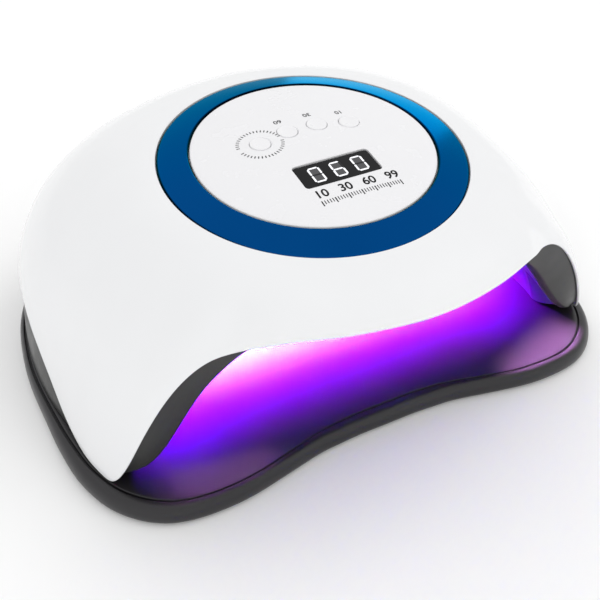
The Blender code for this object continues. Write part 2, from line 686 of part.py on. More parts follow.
def reflector():
    """The liner that closes the hand chamber, with a hole for each lens and sensor."""
    turn = angles()
    inside = liner_surface(turn, np.linspace(0, 1, 7))
    outside = inside - normals(inside) * LINER_THICK
    liner = loft("reflector_liner", list(inside[::-1]) + list(outside), look_mirror, closed=False)
    cuts = []
    for name in (*LEDS, "ceiling"):
        spots, level = lens_places(name)
        for angle in spots:
            point, out = liner_spot(np.array([float(angle)]), level)
            cuts.append(peg(LENS_RADIUS + 0.5, -3.0, 5.0, seat_at(point[0], out[0]), 10))
    for angle in SENSOR_ANGLES:
        point, out = liner_spot(np.array([float(angle)]), SENSOR_LEVEL)
        cuts.append(peg(2.8, -3.0, 5.0, seat_at(point[0], out[0]), 12))
    combine(liner, cuts, "DIFFERENCE")


def lights():
    for name in (*LEDS, "ceiling"):
        spots, level = lens_places(name)
        lenses = strip(name, look_lens, 2.6, 4.2, "lens_strip")
        combine(lenses, [lens_shape(angle, level, LENS_RADIUS, -2.6, 3.4) for angle in spots], "UNION")
        strip(name, look_board, 4.6, 5.8, "led_board")
    for angle, name in zip(SENSOR_ANGLES, ("sensor_emitter", "sensor_receiver")):
        point, out = liner_spot(np.array([float(angle)]), SENSOR_LEVEL)
        turned(name, [(0, -1.6), (1.4, -1.2), (2.3, -0.2), (2.3, 5.0), (0, 5.0)], look_smoked,
               seat_at(point[0], out[0]), 16)


def cable(name, route, radius, look):
    """A round cable along a smooth line through the route's points."""
    route = np.asarray(route, float)
    reach = np.concatenate([[0.0], np.cumsum(np.linalg.norm(np.diff(route, axis=0), axis=1))])
    along = np.linspace(0, reach[-1], max(6, int(reach[-1] / (radius * 4))))
    line = [bend((reach, route[:, k]), along) for k in range(3)]
    curve = bpy.data.curves.new(name, "CURVE")
    curve.dimensions = "3D"
    curve.bevel_depth = radius * MM
    curve.bevel_resolution = 2
    curve.use_fill_caps = True
    spline = curve.splines.new("POLY")
    spline.points.add(len(along) - 1)
    for point, x, y, z in zip(spline.points, *line):
        point.co = (x * MM, y * MM, z * MM, 1.0)
    curve.materials.append(look)
    piece = bpy.data.objects.new(name, curve)
    bpy.context.scene.collection.objects.link(piece)


def cables():
    cable("jack_cable", ((0.0, 97.5, 30.0), (0.0, 96.0, 44.0), (0.0, 91.5, 58.0), (0.0, 80.0, 72.0),
                         (-4.0, 58.0, 82.0), (-8.0, 34.0, 86.0), (-10.0, 14.0, 87.5)), 1.3, look_module)
    cable("led_cable", ((-24.0, -22.0, 88.0), (-25.0, -26.0, 85.5), (-27.0, -34.0, 83.5), (-28.0, -42.0, 82.0)),
          1.1, look_module)


if __name__ == "__main__":
    for thing in list(bpy.data.objects):
        bpy.data.objects.remove(thing)
    look_white = material("shell_white", (0.86, 0.86, 0.87), 0.18)
    look_dark = material("frame_charcoal", (0.06, 0.06, 0.065), 0.42)
    look_blue = material("ring_blue", (0.01, 0.13, 0.42), 0.16, 0.9)
    look_rubber = material("foot_rubber", (0.03, 0.03, 0.03), 0.8)
    look_steel = material("plated_steel", (0.7, 0.7, 0.72), 0.25, 1.0)
    look_smoked = material("window_smoke", (0.01, 0.01, 0.012), 0.08)
    look_module = material("module_black", (0.04, 0.04, 0.045), 0.5)
    look_board = material("board_green", (0.02, 0.18, 0.08), 0.45)
    look_button = material("button_white", (0.82, 0.82, 0.84), 0.3)
    look_mirror = material("liner_silver", (0.75, 0.75, 0.78), 0.2, 0.8)
    look_lens = material("lens_clear", (0.7, 0.6, 0.95), 0.05)
    base_tray()
    tray_hardware()
    top_shell()
    accent_ring()
    control_panel()
    control_parts()
    buttons()
    lower_frame()
    reflector()
    lights()
    power_jack()
    housing_screws()
    cables()
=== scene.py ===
"""Looks for the arched UV/LED nail lamp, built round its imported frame.

Lengths in the constants are millimetres, angles are degrees, and the frame is the lamp's own: +Z up,
the hand goes in along +Y. Every curved wall is drawn on one polar grid round the vertical line
through the control panel's centre, where angle 0 is the front (-Y).
"""

import math

import bmesh
import bpy
import numpy as np
from mathutils import Matrix, Vector


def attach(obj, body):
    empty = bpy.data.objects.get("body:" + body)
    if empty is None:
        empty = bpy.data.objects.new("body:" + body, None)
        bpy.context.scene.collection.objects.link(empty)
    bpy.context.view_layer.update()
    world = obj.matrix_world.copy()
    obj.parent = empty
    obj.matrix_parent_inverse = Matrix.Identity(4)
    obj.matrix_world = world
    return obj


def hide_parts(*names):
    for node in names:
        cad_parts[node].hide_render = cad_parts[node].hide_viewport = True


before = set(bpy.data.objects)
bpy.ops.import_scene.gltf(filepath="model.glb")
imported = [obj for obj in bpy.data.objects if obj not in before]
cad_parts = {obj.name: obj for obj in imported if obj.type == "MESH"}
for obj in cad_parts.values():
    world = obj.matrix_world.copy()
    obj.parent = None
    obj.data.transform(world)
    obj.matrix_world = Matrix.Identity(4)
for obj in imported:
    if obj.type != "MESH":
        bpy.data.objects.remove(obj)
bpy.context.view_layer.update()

MM = 0.001
GAP = 0.35                    # play between pieces that fit together
SHARP, PANEL_SHARP, RING_SHARP = 38.0, 14.0, 50.0    # edges steeper than this are shaded sharp

# Control panel and accent ring, on an axis that leans towards the user.
PANEL_Y, PANEL_Z = -18.8, 100.7
PANEL_TILT = 5.6
PANEL_RADIUS = 50.4
PANEL_CROWN = 4.1
PANEL_THICK = 2.2
RING_RADIUS = 63.7
RING_DROP = 3.1
RING_THICK = 1.8
LEDGE_RADIUS, LEDGE_OUTER = 46.0, 52.0
LEDGE_DROP = 2.9

# Display and buttons, in the panel's own plane (across, away from the user).
DISPLAY_WIDTH, DISPLAY_HEIGHT = 34.2, 14.1
DISPLAY_AT = (0.0, -19.2)
DISPLAY_RECESS = 0.9
DISPLAY_CORNER = 1.7
DIGIT_WIDTH, DIGIT_HEIGHT, DIGIT_PITCH = 5.2, 9.0, 9.5
SEGMENT_WIDE, SEGMENT_GAP = 0.78, 0.14
DIGITS_SHOWN = "060"
SEGMENTS_ON = {"0": "abcdef", "6": "acdefg"}
BUTTON_RADIUS = 4.3
BUTTON_GAP = 0.18
BUTTON_DISH = 0.25            # how far a button's rim stands above the panel, and above its own middle
BUTTON_FLANGE = 1.1
BUTTON_ROOM = 0.9             # room under the panel for a button's travel
STEM_RADIUS, STEM_FOOT = 1.5, -3.2
BUTTONS = {
    "low_heat": (-20.5, 7.9),
    "60s": (-6.8, 10.9),
    "30s": (6.8, 10.9),
    "10s": (20.5, 7.9),
}

# Printed marks. A tick is (width, height); the scale's ticks have their drop below the numbers first.
DIGIT_SHARE = 0.73            # how much of the typeface's size a digit is high
MARK_HEIGHT, MARK_RISE, MARK_BOLD = 2.6, 8.5, 0.06
DIAL_RADIUS, DIAL_TICK = 9.2, (0.45, 1.4)
SCALE_NUMBERS = ("10", "30", "60", "99")
SCALE_HEIGHT, SCALE_DROP, SCALE_BOLD = 4.2, 4.4, 0.12
SCALE_LEFT, SCALE_STEP, SCALE_COUNT, SCALE_EVERY = -15.0, 1.16, 31, 5
SCALE_LONG, SCALE_SHORT = (4.9, 0.5, 2.8), (4.5, 0.36, 2.0)

# White shell, dark frame and the chamber's lining.
SHELL_THICK = 2.2
WING_THINNER = 1.2            # how much thinner the shell gets at its rim along the wings
FRAME_THICK = 2.0
FLANGE_THICK = 3.5
FRAME_FOOT_Z = 9.6
RIM_WIDTH = 2.6               # how broad the frame's rim is round the opening
SHELL_LEAN = 8.5              # how steeply the shell leaves the ring, below the panel's plane
LINER_THICK = 1.6
CEILING_Z = 73.0
CEILING_RADIUS = 12.0

# Base tray.
RIM_BOTTOM = 0.6
TRAY_TOP = 9.2
TRAY_SKIN = 2.7
FOOT_RADIUS = 7.0
MAGNET_RADIUS = 4.0

# The plan of the tray: radius at each angle from the front.
TRAY_PLAN = (
    (0, 18, 27, 36, 45, 54, 63, 72, 81, 90, 108, 124, 135, 144, 153, 162, 180),
    (65.7, 69.5, 75.5, 87.8, 105.6, 121.9, 128.5, 128.9, 127.0, 126.0, 131.2, 139.6, 143.6, 143.0,
     139.0, 135.0, 131.3),
)
# The shell's lower edge: a high arch over the hand opening that sweeps down into two wing tips.
EDGE_PLAN = (
    (0, 18, 36, 48, 56, 61, 64.5, 68),
    (93.7, 93.2, 95.4, 98.5, 109.5, 118.9, 122.9, 123.9),
)
EDGE_INSET = 5.7
EDGE_HEIGHT = (
    (0, 18, 36, 45, 51, 54, 57, 60, 63, 66, 69, 72, 78, 84, 92, 100, 108, 118, 140, 180),
    (81.0, 79.8, 77.0, 71.8, 66.8, 61.0, 51.5, 37.5, 21.5, 10.9, 10.1, 10.5,
     12.3, 16.2, 24.2, 32.4, 38.2, 41.0, 39.5, 37.5),
)
# The frame's lower edge: the inner arch of the opening, then the skirt's foot.
ARCH_PLAN = (
    (0, 18, 27, 36, 43.5, 49.5, 54.2, 57.4, 60, 63, 66, 69),
    (69.0, 73.5, 77.5, 82.0, 86.4, 92.2, 98.5, 104.6, 112.6, 117.6, 119.6, 120.0),
)
ARCH_HEIGHT = (
    (0, 18, 27, 36, 43.5, 49.5, 54.2, 57.4, 60, 63, 66, 69, 72),
    (71.0, 71.0, 70.8, 70.0, 66.0, 57.2, 46.0, 33.5, 21.0, 16.8, 13.2, 10.3, FRAME_FOOT_Z),
)
# How far inside the tray's plan the skirt's foot and the tray's seam run.
SKIRT_INSET = ((66, 77, 84, 92, 104, 128, 152, 180), (8.7, 8.7, 6.8, 4.6, 3.9, 3.9, 7.8, 7.8))
SEAM_INSET = ((0, 64, 78, 92, 128, 152, 180), (5.6, 5.6, 4.8, 3.3, 3.3, 5.6, 5.6))
FLANGE_INSET = 20.5

LEDS = {                      # angle range, height fraction range up the liner, lenses
    "left": (-128.0, -72.0, 0.36, 0.50, 5),
    "right": (72.0, 128.0, 0.36, 0.50, 5),
    "back": (152.0, 208.0, 0.36, 0.50, 4),
}
CEILING_LENSES = 6
CEILING_SPAN = (0.80, 0.93)
LENS_RADIUS = 3.1

SCREW_ANGLES = (-138.0, -94.0, 94.0, 138.0)
MAGNET_ANGLES = (-120.0, -80.0, 80.0, 120.0)
FOOT_ANGLES = (-140.0, -56.0, 56.0, 140.0)
FOOT_INSET = 26.0
MAGNET_INSET = 15.0
SCREW_INSET = 16.4
SCREW_HEAD, SCREW_HOLE = 3.1, 1.7
JACK_Z = 24.0
JACK_RADIUS = 5.0
SENSOR_ANGLES = (-68.0, 68.0)
SENSOR_LEVEL = 0.2
SENSOR_RADIUS = 2.8

# How the curved walls are divided: angle ranges with their counts, and rows down the shell, skirt and liner.
ANGLE_RANGES = ((0, 44, 44), (44, 76, 72), (76, 122, 40), (122, 180, 49))
SHELL_STEPS, SKIRT_STEPS, LINER_STEPS = 48, 16, 24
WALL_STEPS = 40               # steps down the shell when the skirt is hung from it
SOFTEN = 1.3                  # how far round the lamp, in degrees, a curve's knots are smoothed

# Camera.
CAMERA_TARGET = (0.0, -26.9, 45.0)
CAMERA_AZIMUTH, CAMERA_ELEVATION, CAMERA_ROLL = -28.63, 36.46, 0.27
CAMERA_DISTANCE = 418.8
CAMERA_LENS, CAMERA_SENSOR = 57.785, 36.0
CAMERA_SHIFT = (-0.0384, -0.0502)
CAMERA_CLIP = (0.01, 50.0)

# Soft lights: name, place, size, power.
SOFT_LIGHTS = (
    ("key", (-1500, -1100, 1900), 2000, 10.0), ("fill", (700, -2300, 1500), 1400, 4.5),
    ("side", (1800, 200, 1600), 1400, 8.0), ("back", (500, 2000, 760), 1500, 4.0),
)
LIGHTS_AIM = (0, 0, 40)
ROOM_BANDS = ((0.1, 0.93), (0.95, 0.88))    # the room's brightness, low and high
# Lamps in the hand chamber: name, place, aim, width and depth, power, spread, colour.
GLOW_LAMPS = (
    ("glow_blue", (0, -5, 50), (0, -4.99, 0), (160, 16), 17.0, 124, (0, 0, 1)),
    ("glow_violet", (0, -5, 50), (0, -4.99, 0), (160, 16), 8.2, 122, (1, 0, 0.2)),
    ("glow_pink", (0, 2, 50), (0, 2.01, 0), (150, 16), 6.0, 97, (0.4, 1, 0.8)),
    ("glow_left", (-80, -42, 44), (-80, -41.99, 0), (20, 16), 0.45, 100, (0.12, 0, 1)),
    ("glow_right", (80, -42, 44), (80, -41.99, 0), (20, 16), 0.3, 92, (0.12, 0, 1)),
    ("glow_lip", (-62, -36, 46), (-74, -87, 9.2), (44, 8), 0.015, 22, (0.8, 0.34, 1)),
    ("glow_corner", (62, -36, 46), (84, -92, 9.2), (44, 8), 0.12, 22, (0.9, 0.38, 1)),
)


# ------------------------ curves and surfaces

def smooth(curve, at):
    """A smooth curve through knots (x, y), level at both ends, read at the places given."""
    x, y = (np.asarray(values, float) for values in curve)
    step = np.diff(x)
    slope = np.diff(y) / step
    inner = (step[1:] * slope[:-1] + step[:-1] * slope[1:]) / (step[1:] + step[:-1])
    tangent = np.concatenate([[0.0], inner, [0.0]])
    at = np.clip(np.asarray(at, float), x[0], x[-1])
    k = np.clip(np.searchsorted(x, at, side="right") - 1, 0, len(step) - 1)
    t = (at - x[k]) / step[k]
    rise = y[k] * (1 + 2 * t) * (1 - t) ** 2 + y[k + 1] * t * t * (3 - 2 * t)
    return rise + step[k] * (tangent[k] * t * (1 - t) ** 2 - tangent[k + 1] * t * t * (1 - t))


def softened(curve, spread=SOFTEN):
    """The same curve of an angle, averaged over a short stretch so that its knots leave no kink."""
    offsets = np.linspace(-2.2, 2.2, 11) * spread
    weights = np.exp(-0.5 * (offsets / spread) ** 2)
    weights /= weights.sum()
    return lambda angle: sum(w * curve(np.asarray(angle, float) + o) for o, w in zip(offsets, weights))


def fade(angle, start, end):
    """0 before start, 1 after end, with a soft change between."""
    t = np.clip((np.asarray(angle, float) - start) / (end - start), 0, 1)
    return t * t * (3 - 2 * t)


def away(angle):
    """Unit vectors that point away from the panel's vertical line, at angles from the front."""
    a = np.radians(angle)
    return np.stack([np.sin(a), -np.cos(a), np.zeros_like(a)], -1)


def polar(angle, radius, height):
    """Points at angles from the front, radii and heights."""
    spot = away(angle) * np.asarray(radius, float)[..., None]
    spot[..., 1] += PANEL_Y
    spot[..., 2] = height
    return spot


def panel_axes():
    """The panel's across, away-from-user and outward directions."""
    t = math.radians(PANEL_TILT)
    return (np.array([1.0, 0.0, 0.0]), np.array([0.0, math.cos(t), math.sin(t)]),
            np.array([0.0, -math.sin(t), math.cos(t)]))


def on_panel(across, along, out):
    """A point given in the panel's own plane, in the lamp's frame."""
    u, v, n = panel_axes()
    return np.array([0.0, PANEL_Y, PANEL_Z]) + across * u + along * v + out * n


def panel_height(radius):
    """How far the domed panel stands above its rim's plane."""
    return PANEL_CROWN * (1 - (radius / PANEL_RADIUS) ** 2)


def from_front(angle):
    """The size of an angle from the front, 0 to 180, whichever way round it is given."""
    return np.abs((np.asarray(angle, float) + 180) % 360 - 180)


tray_radius = softened(lambda angle: smooth(TRAY_PLAN, from_front(angle)))


@softened
def shell_edge(angle):
    """The shell's lower edge."""
    a = from_front(angle)
    blend = fade(a, 66, 70)
    radius = (1 - blend) * smooth(EDGE_PLAN, a) + blend * (smooth(TRAY_PLAN, a) - EDGE_INSET)
    return polar(angle, radius, smooth(EDGE_HEIGHT, a))


@softened
def frame_edge(angle):
    """The frame's lower edge: the opening's inner arch, then the foot of the skirt."""
    a = from_front(angle)
    blend = fade(a, 66, 70)
    skirt = smooth(TRAY_PLAN, a) - smooth(SKIRT_INSET, a)
    radius = (1 - blend) * smooth(ARCH_PLAN, a) + blend * skirt
    return polar(angle, radius, smooth(ARCH_HEIGHT, a))


def between(low, high, values, spread=7.0):
    """A value that changes evenly between angles from the front, smoothed."""
    return softened(lambda angle: np.interp(from_front(angle), low, high), spread)(values)


def bezier(p0, p1, p2, p3, u):
    """Rows of points at each u along cubic curves, one curve for each row of the four control points."""
    u = np.asarray(u, float)[:, None, None]
    return (1 - u) ** 3 * p0 + 3 * (1 - u) ** 2 * u * p1 + 3 * (1 - u) * u * u * p2 + u ** 3 * p3


def unit(vectors):
    return vectors / np.linalg.norm(vectors, axis=-1, keepdims=True)


def panel_spread(angle):
    """Directions in the panel's plane, away from its centre, at angles from the front."""
    across, along, _ = panel_axes()
    return np.sin(np.radians(angle))[:, None] * across - np.cos(np.radians(angle))[:, None] * along


def shell_surface(angle, u):
    """The shell's outside, from the accent ring (u = 0) down to its lower edge (u = 1)."""
    spread, out = panel_spread(angle), panel_axes()[2]
    top = on_panel(0, 0, -RING_DROP) + (RING_RADIUS + GAP) * spread
    bottom = shell_edge(angle)
    lean = math.radians(SHELL_LEAN)
    start = spread * math.cos(lean) - out * math.sin(lean)
    drop = np.radians(between((0, 60, 180), (40, 82, 80), angle))[:, None]
    end = away(angle) * np.cos(drop) - np.array([0.0, 0.0, 1.0]) * np.sin(drop)
    span = np.linalg.norm(bottom - top, axis=1)[:, None]
    early = between((0, 90, 180), (0.37, 0.37, 0.41), angle)[:, None]
    late = between((0, 90, 180), (0.41, 0.2, 0.41), angle)[:, None]
    return bezier(top, top + start * span * early, bottom - end * span * late, bottom, u)


def liner_surface(angle, u):
    """The cavity side of the reflector, from its lower edge (u = 0) to the ceiling (u = 1)."""
    side = fade(from_front(angle), 58, 72)[:, None]
    high = polar(angle, np.full_like(angle, CEILING_RADIUS), CEILING_Z)
    rim = frame_rim(angle)[2]
    low = rim - away(angle) * (LINER_THICK + 1.4) * side + np.array([0.0, 2.0, 0.0]) * (1 - side)
    reach = np.linalg.norm((low - high)[:, :2], axis=1)[:, None]
    steep = fade(from_front(angle), 40, 92)[:, None]
    climb = np.array([0.0, 0.0, 0.78]) * (CEILING_Z - low[:, 2:]) * steep
    ahead = np.array([0.0, 0.4, 0.0]) * reach * (1 - steep)
    return bezier(low, low + climb + ahead, high + away(angle) * reach * 0.55, high, u)


def flange_thick(angle):
    """The flange is thin round the opening and thick enough for screws and magnets along the skirt."""
    return (FRAME_THICK + (FLANGE_THICK - FRAME_THICK) * fade(from_front(angle), 68, 75))[:, None]


def frame_rim(angle):
    """The frame's foot, the direction away from the chamber there, and its flange's inner corners."""
    edge = frame_edge(angle)
    around = unit(frame_edge(angle + 0.25) - frame_edge(angle - 0.25))
    up = unit(np.cross(around, away(angle)))
    up = up * np.sign(up[:, 2:] + 1e-9)
    a = from_front(angle)
    width = RIM_WIDTH + (FLANGE_INSET - smooth(SKIRT_INSET, a) - RIM_WIDTH) * fade(a, 62, 72)
    inner = edge - away(angle) * width[:, None]
    return edge, up, inner, inner + up * flange_thick(angle)


def wing(angle):
    """1 where the shell's edge sweeps down to a wing tip, 0 elsewhere."""
    a = from_front(angle)
    return fade(a, 46, 54) * (1 - fade(a, 67, 73))


def normals(grid):
    """Unit normals of a grid of points whose rows run down its outer side."""
    down = np.gradient(grid, axis=0)
    side = np.roll(grid, -1, axis=1) - np.roll(grid, 1, axis=1)
    return unit(np.cross(down, side))


def liner_spot(angle, u):
    """Points on the liner's cavity side and the directions that point away from the cavity."""
    def spot(turn, level):
        return liner_surface(turn, np.array([level]))[0]

    climb = spot(angle, min(u + 0.02, 1.0)) - spot(angle, u - 0.02)
    side = spot(angle + 0.5, u) - spot(angle - 0.5, u)
    return spot(angle, u), unit(np.cross(side, climb))


def angles():
    """Angles all round, closest together where the arch sweeps into the wing tips."""
    half = np.concatenate([np.linspace(start, end, count, endpoint=end == 180)
                           for start, end, count in ANGLE_RANGES])
    return np.concatenate([-half[:0:-1], half[:-1]])


def rounded(rows, sizes, steps=4, closed=True):
    """An outline of points, or of rows of points, with its corners rounded by the sizes given."""
    rows = [np.asarray(row, float) for row in rows]
    made = []
    for k, (row, size) in enumerate(zip(rows, sizes)):
        if not size or (not closed and k in (0, len(rows) - 1)):
            made.append(row)
            continue
        ends = []
        for other in (rows[k - 1], rows[(k + 1) % len(rows)]):
            reach = np.linalg.norm(other - row, axis=-1, keepdims=True)
            ends.append(row + (other - row) * np.minimum(size / np.maximum(reach, 1e-6), 0.48))
        for t in np.linspace(0, 1, steps + 1):
            made.append((1 - t) ** 2 * ends[0] + 2 * (1 - t) * t * row + t * t * ends[1])
    return made


# ------------------------ making objects

def place(mesh_builder, name, look, body, node=None, sharp=SHARP):
    """An object from a finished bmesh that rides on a body, and stands for a CAD node if one is named."""
    bmesh.ops.recalc_face_normals(mesh_builder, faces=mesh_builder.faces)
    mesh = bpy.data.meshes.new(name)
    mesh_builder.to_mesh(mesh)
    mesh_builder.free()
    mesh.shade_smooth()
    mesh.set_sharp_from_angle(angle=math.radians(sharp))
    piece = bpy.data.objects.new(name, mesh)
    bpy.context.scene.collection.objects.link(piece)
    if look is not None:
        mesh.materials.append(look)
    if body is not None:
        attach(piece, body)
    if node is not None:
        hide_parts(node)
    return piece


def join(bm, lines):
    """Adds the faces between rows of vertices that run all round."""
    count = len(lines[0])
    for low, high in zip(lines, lines[1:]):
        for i in range(count):
            j = (i + 1) % count
            bm.faces.new((low[i], low[j], high[j], high[i]))


def add_loft(bm, rows, closed=True):
    """Adds rows of points: a closed band, or a solid capped on its first and last row."""
    lines = [[bm.verts.new(Vector(p) * MM) for p in row] for row in rows]
    join(bm, lines + lines[:1] if closed else lines)
    if closed:
        return
    for line, row in ((lines[0], rows[0]), (lines[-1], rows[-1])):
        hub = bm.verts.new(Vector((0.0, PANEL_Y, float(np.mean(np.asarray(row)[:, 2])))) * MM)
        for i, corner in enumerate(line):
            bm.faces.new((corner, line[(i + 1) % len(line)], hub))


def circle(bm, seat, radius, height, segments):
    """Adds the vertices of a circle round a seat's +Z."""
    turns = (2 * math.pi * k / segments for k in range(segments))
    return [bm.verts.new(seat @ Vector((radius * MM * math.cos(t), radius * MM * math.sin(t), height * MM)))
            for t in turns]


def add_turned(bm, profile, seat, segments):
    """Adds a solid turned round a seat's +Z from (radius, height) points that start and end on the axis."""
    rings = [circle(bm, seat, radius, height, segments if radius else 1) for radius, height in profile]
    for low, high in zip(rings, rings[1:]):
        for k in range(segments):
            j = (k + 1) % segments
            corners = [low[k % len(low)], low[j % len(low)], high[j % len(high)], high[k % len(high)]]
            bm.faces.new(list(dict.fromkeys(corners)))


def add_ring(bm, outline, seat, segments):
    """Adds a ring turned round a seat's +Z from a closed outline of (radius, height) points."""
    lines = [circle(bm, seat, radius, height, segments) for radius, height in outline]
    join(bm, lines + lines[:1])


def add_prism(bm, levels, seat):
    """Adds a solid through flat outlines, each given with its height on the seat's +Z."""
    lines = [[bm.verts.new(seat @ (Vector((x, y, z)) * MM)) for x, y in outline] for outline, z in levels]
    join(bm, lines)
    bm.faces.new(lines[0][::-1])
    bm.faces.new(lines[-1])


def peg_profile(radius, low, high):
    """The profile of a plain round peg, for add_turned."""
    return [(0, low), (radius, low), (radius, high), (0, high)]


def round_box(width, height, radius, steps=6):
    """The outline of a rectangle with round corners, centred on the origin."""
    points = []
    for corner in range(4):
        cx = (width / 2 - radius) * (1 if corner in (0, 3) else -1)
        cy = (height / 2 - radius) * (1 if corner in (0, 1) else -1)
        for t in np.radians(np.linspace(0, 90, steps + 1) + 90 * corner):
            points.append((cx + radius * math.cos(t), cy + radius * math.sin(t)))
    return points


def seat_at(point, up=(0, 0, 1)):
    """A matrix at a point, with +Z along up and +X as near the lamp's +X as it can be."""
    z, across = Vector(up).normalized(), Vector((1, 0, 0))
    x = (across - z * across.dot(z)).normalized()
    y = z.cross(x)
    turn = Matrix((x, y, z)).transposed().to_4x4()
    return Matrix.Translation(Vector(point) * MM) @ turn


def panel_seat(across=0.0, along=0.0, out=0.0, tip=0.0):
    """A seat in the panel's plane; tip leans its +Z further away from the user."""
    _, v, n = panel_axes()
    lean = math.radians(tip)
    up = n * math.cos(lean) + v * math.sin(lean)
    return seat_at(on_panel(across, along, out), up)


def cut(piece, bm, sharp=SHARP):
    """Cuts the shapes of a bmesh out of a piece."""
    shape = place(bm, "shape", None, None)
    change = piece.modifiers.new("cut", "BOOLEAN")
    change.operation, change.object, change.solver = "DIFFERENCE", shape, "EXACT"
    bpy.context.view_layer.update()
    ready = bpy.context.evaluated_depsgraph_get()
    made = bpy.data.meshes.new_from_object(piece.evaluated_get(ready))
    piece.modifiers.clear()
    piece.data = made
    bpy.data.objects.remove(shape)
    made.set_sharp_from_angle(angle=math.radians(sharp))


# ------------------------ materials

class Look:
    """A Principled material, with short ways to wire noise into its colour, roughness and bump."""

    def __init__(self, name, color, roughness, metallic=0.0, **sockets):
        self.material = bpy.data.materials.new(name)
        self.material.use_nodes = True
        self.nodes = self.material.node_tree.nodes
        self.links = self.material.node_tree.links
        self.shader = self.nodes["Principled BSDF"]
        self.set("Base Color", (*color, 1.0))
        self.set("Roughness", roughness)
        self.set("Metallic", metallic)
        for socket, value in sockets.items():
            self.set(socket.replace("_", " ").title().replace("Ior", "IOR"), value)
        self.color = color
        self.place = self.add("TexCoord").outputs["Object"]

    def set(self, socket, value):
        self.shader.inputs[socket].default_value = value

    def link(self, source, target):
        self.links.new(source, target)

    def add(self, kind, inputs=()):
        """A new node of a kind, with values for some of its inputs."""
        node = self.nodes.new("ShaderNode" + kind)
        for socket, value in inputs:
            node.inputs[socket].default_value = value
        return node

    def noise(self, scale, detail=3.0, place=None):
        node = self.add("TexNoise", (("Scale", scale), ("Detail", detail), ("Roughness", 0.55)))
        self.link(place or self.place, node.inputs["Vector"])
        return node.outputs["Fac"]

    def span(self, source, low, high, start=0.3, end=0.7):
        """A value that runs from low to high as the source runs from start to end."""
        node = self.add("MapRange", (("From Min", start), ("From Max", end),
                                     ("To Min", low), ("To Max", high)))
        self.link(source, node.inputs["Value"])
        return node.outputs["Result"]

    def ramp(self, source, *stops):
        """A colour read off a ramp of (place, colour) stops."""
        node = self.add("ValToRGB")
        stones = node.color_ramp.elements
        while len(stones) < len(stops):
            stones.new(0.5)
        for stone, (at, color) in zip(stones, stops):
            stone.position, stone.color = at, (*color, 1.0)
        self.link(source, node.inputs["Fac"])
        return node.outputs["Color"]

    def math(self, operation, *values):
        node = self.add("Math")
        node.operation = operation
        for socket, value in zip(node.inputs, values):
            if isinstance(value, (int, float)):
                socket.default_value = value
            else:
                self.link(value, socket)
        return node.outputs["Value"]

    def mottle(self, scale, amount):
        """Lets the base colour vary a little, darker and lighter, over patches."""
        dark = tuple(c * (1 - amount) for c in self.color)
        light = tuple(min(1.0, c * (1 + amount)) for c in self.color)
        self.link(self.ramp(self.noise(scale), (0.3, dark), (0.7, light)), self.shader.inputs["Base Color"])

    def vary_roughness(self, scale, low, high):
        self.link(self.span(self.noise(scale, 4.0), low, high), self.shader.inputs["Roughness"])

    def bump(self, source, strength, depth_mm):
        node = self.add("Bump", (("Strength", strength), ("Distance", depth_mm * MM)))
        self.link(source, node.inputs["Height"])
        last = self.shader.inputs["Normal"]
        if last.is_linked:
            self.link(last.links[0].from_socket, node.inputs["Normal"])
        self.link(node.outputs["Normal"], last)

    def finish(self, patches, roughness, *bumps):
        """Patches (scale, amount), roughness (scale, low, high) and bumps (scale, detail, strength, mm)."""
        if patches:
            self.mottle(*patches)
        self.vary_roughness(*roughness)
        for scale, detail, strength, depth_mm in bumps:
            self.bump(self.noise(scale, detail), strength, depth_mm)
        return self.material


def ring_metal():
    """Blue anodised metal, brushed round the panel's axis, with painted shade along its inner and outer edge:
    the colour darkens to near black there, standing for the shadow in the gaps to the panel and the shell.
    """
    look = Look("ring_anodised_blue", (0.001, 0.065, 0.25), 0.17, 1.0, specular_tint=(0.45, 0.84, 0.92, 1.0))
    split = look.add("SeparateXYZ")
    look.link(look.place, split.inputs["Vector"])
    across = split.outputs["X"]
    from_axis = look.math("SUBTRACT", split.outputs["Y"], PANEL_Y * MM)
    radius = look.math("SQRT", look.math("ADD", look.math("MULTIPLY", across, across),
                                         look.math("MULTIPLY", from_axis, from_axis)))
    turned = look.add("CombineXYZ")
    look.link(look.math("MULTIPLY", radius, 60.0), turned.inputs["X"])
    look.link(look.math("ARCTAN2", from_axis, across), turned.inputs["Y"])
    brushed = look.noise(60.0, 3.0, turned.outputs["Vector"])
    look.link(look.span(brushed, 0.12, 0.24), look.shader.inputs["Roughness"])
    # Painted shade: the base colour falls to near black at the ring's inner and outer edge, standing for the
    # dark gaps beside it.
    gap_shade = look.math(
        "MULTIPLY",
        look.span(radius, 0.02, 1.0, (PANEL_RADIUS + 0.6) * MM, (PANEL_RADIUS + 1.1) * MM),
        look.span(radius, 1.0, 0.02, (RING_RADIUS - 0.8) * MM, (RING_RADIUS - 0.4) * MM))
    tone = look.add("VectorMath")
    tone.operation = "SCALE"
    look.link(look.ramp(look.noise(14.0), (0.3, (0.0008, 0.062, 0.24)), (0.7, (0.0012, 0.069, 0.262))),
              tone.inputs["Vector"])
    look.link(gap_shade, tone.inputs["Scale"])
    look.link(tone.outputs["Vector"], look.shader.inputs["Base Color"])
    look.bump(brushed, 0.04, 0.02)
    return look.material


def charcoal(name, color, low, high):
    """Satin moulded plastic with a fine spark-eroded texture."""
    look = Look(name, color, (low + high) / 2)
    return look.finish((22.0, 0.07), (130.0, low, high), (2600.0, 2.0, 0.16, 0.03), (240.0, 2.0, 0.05, 0.05))


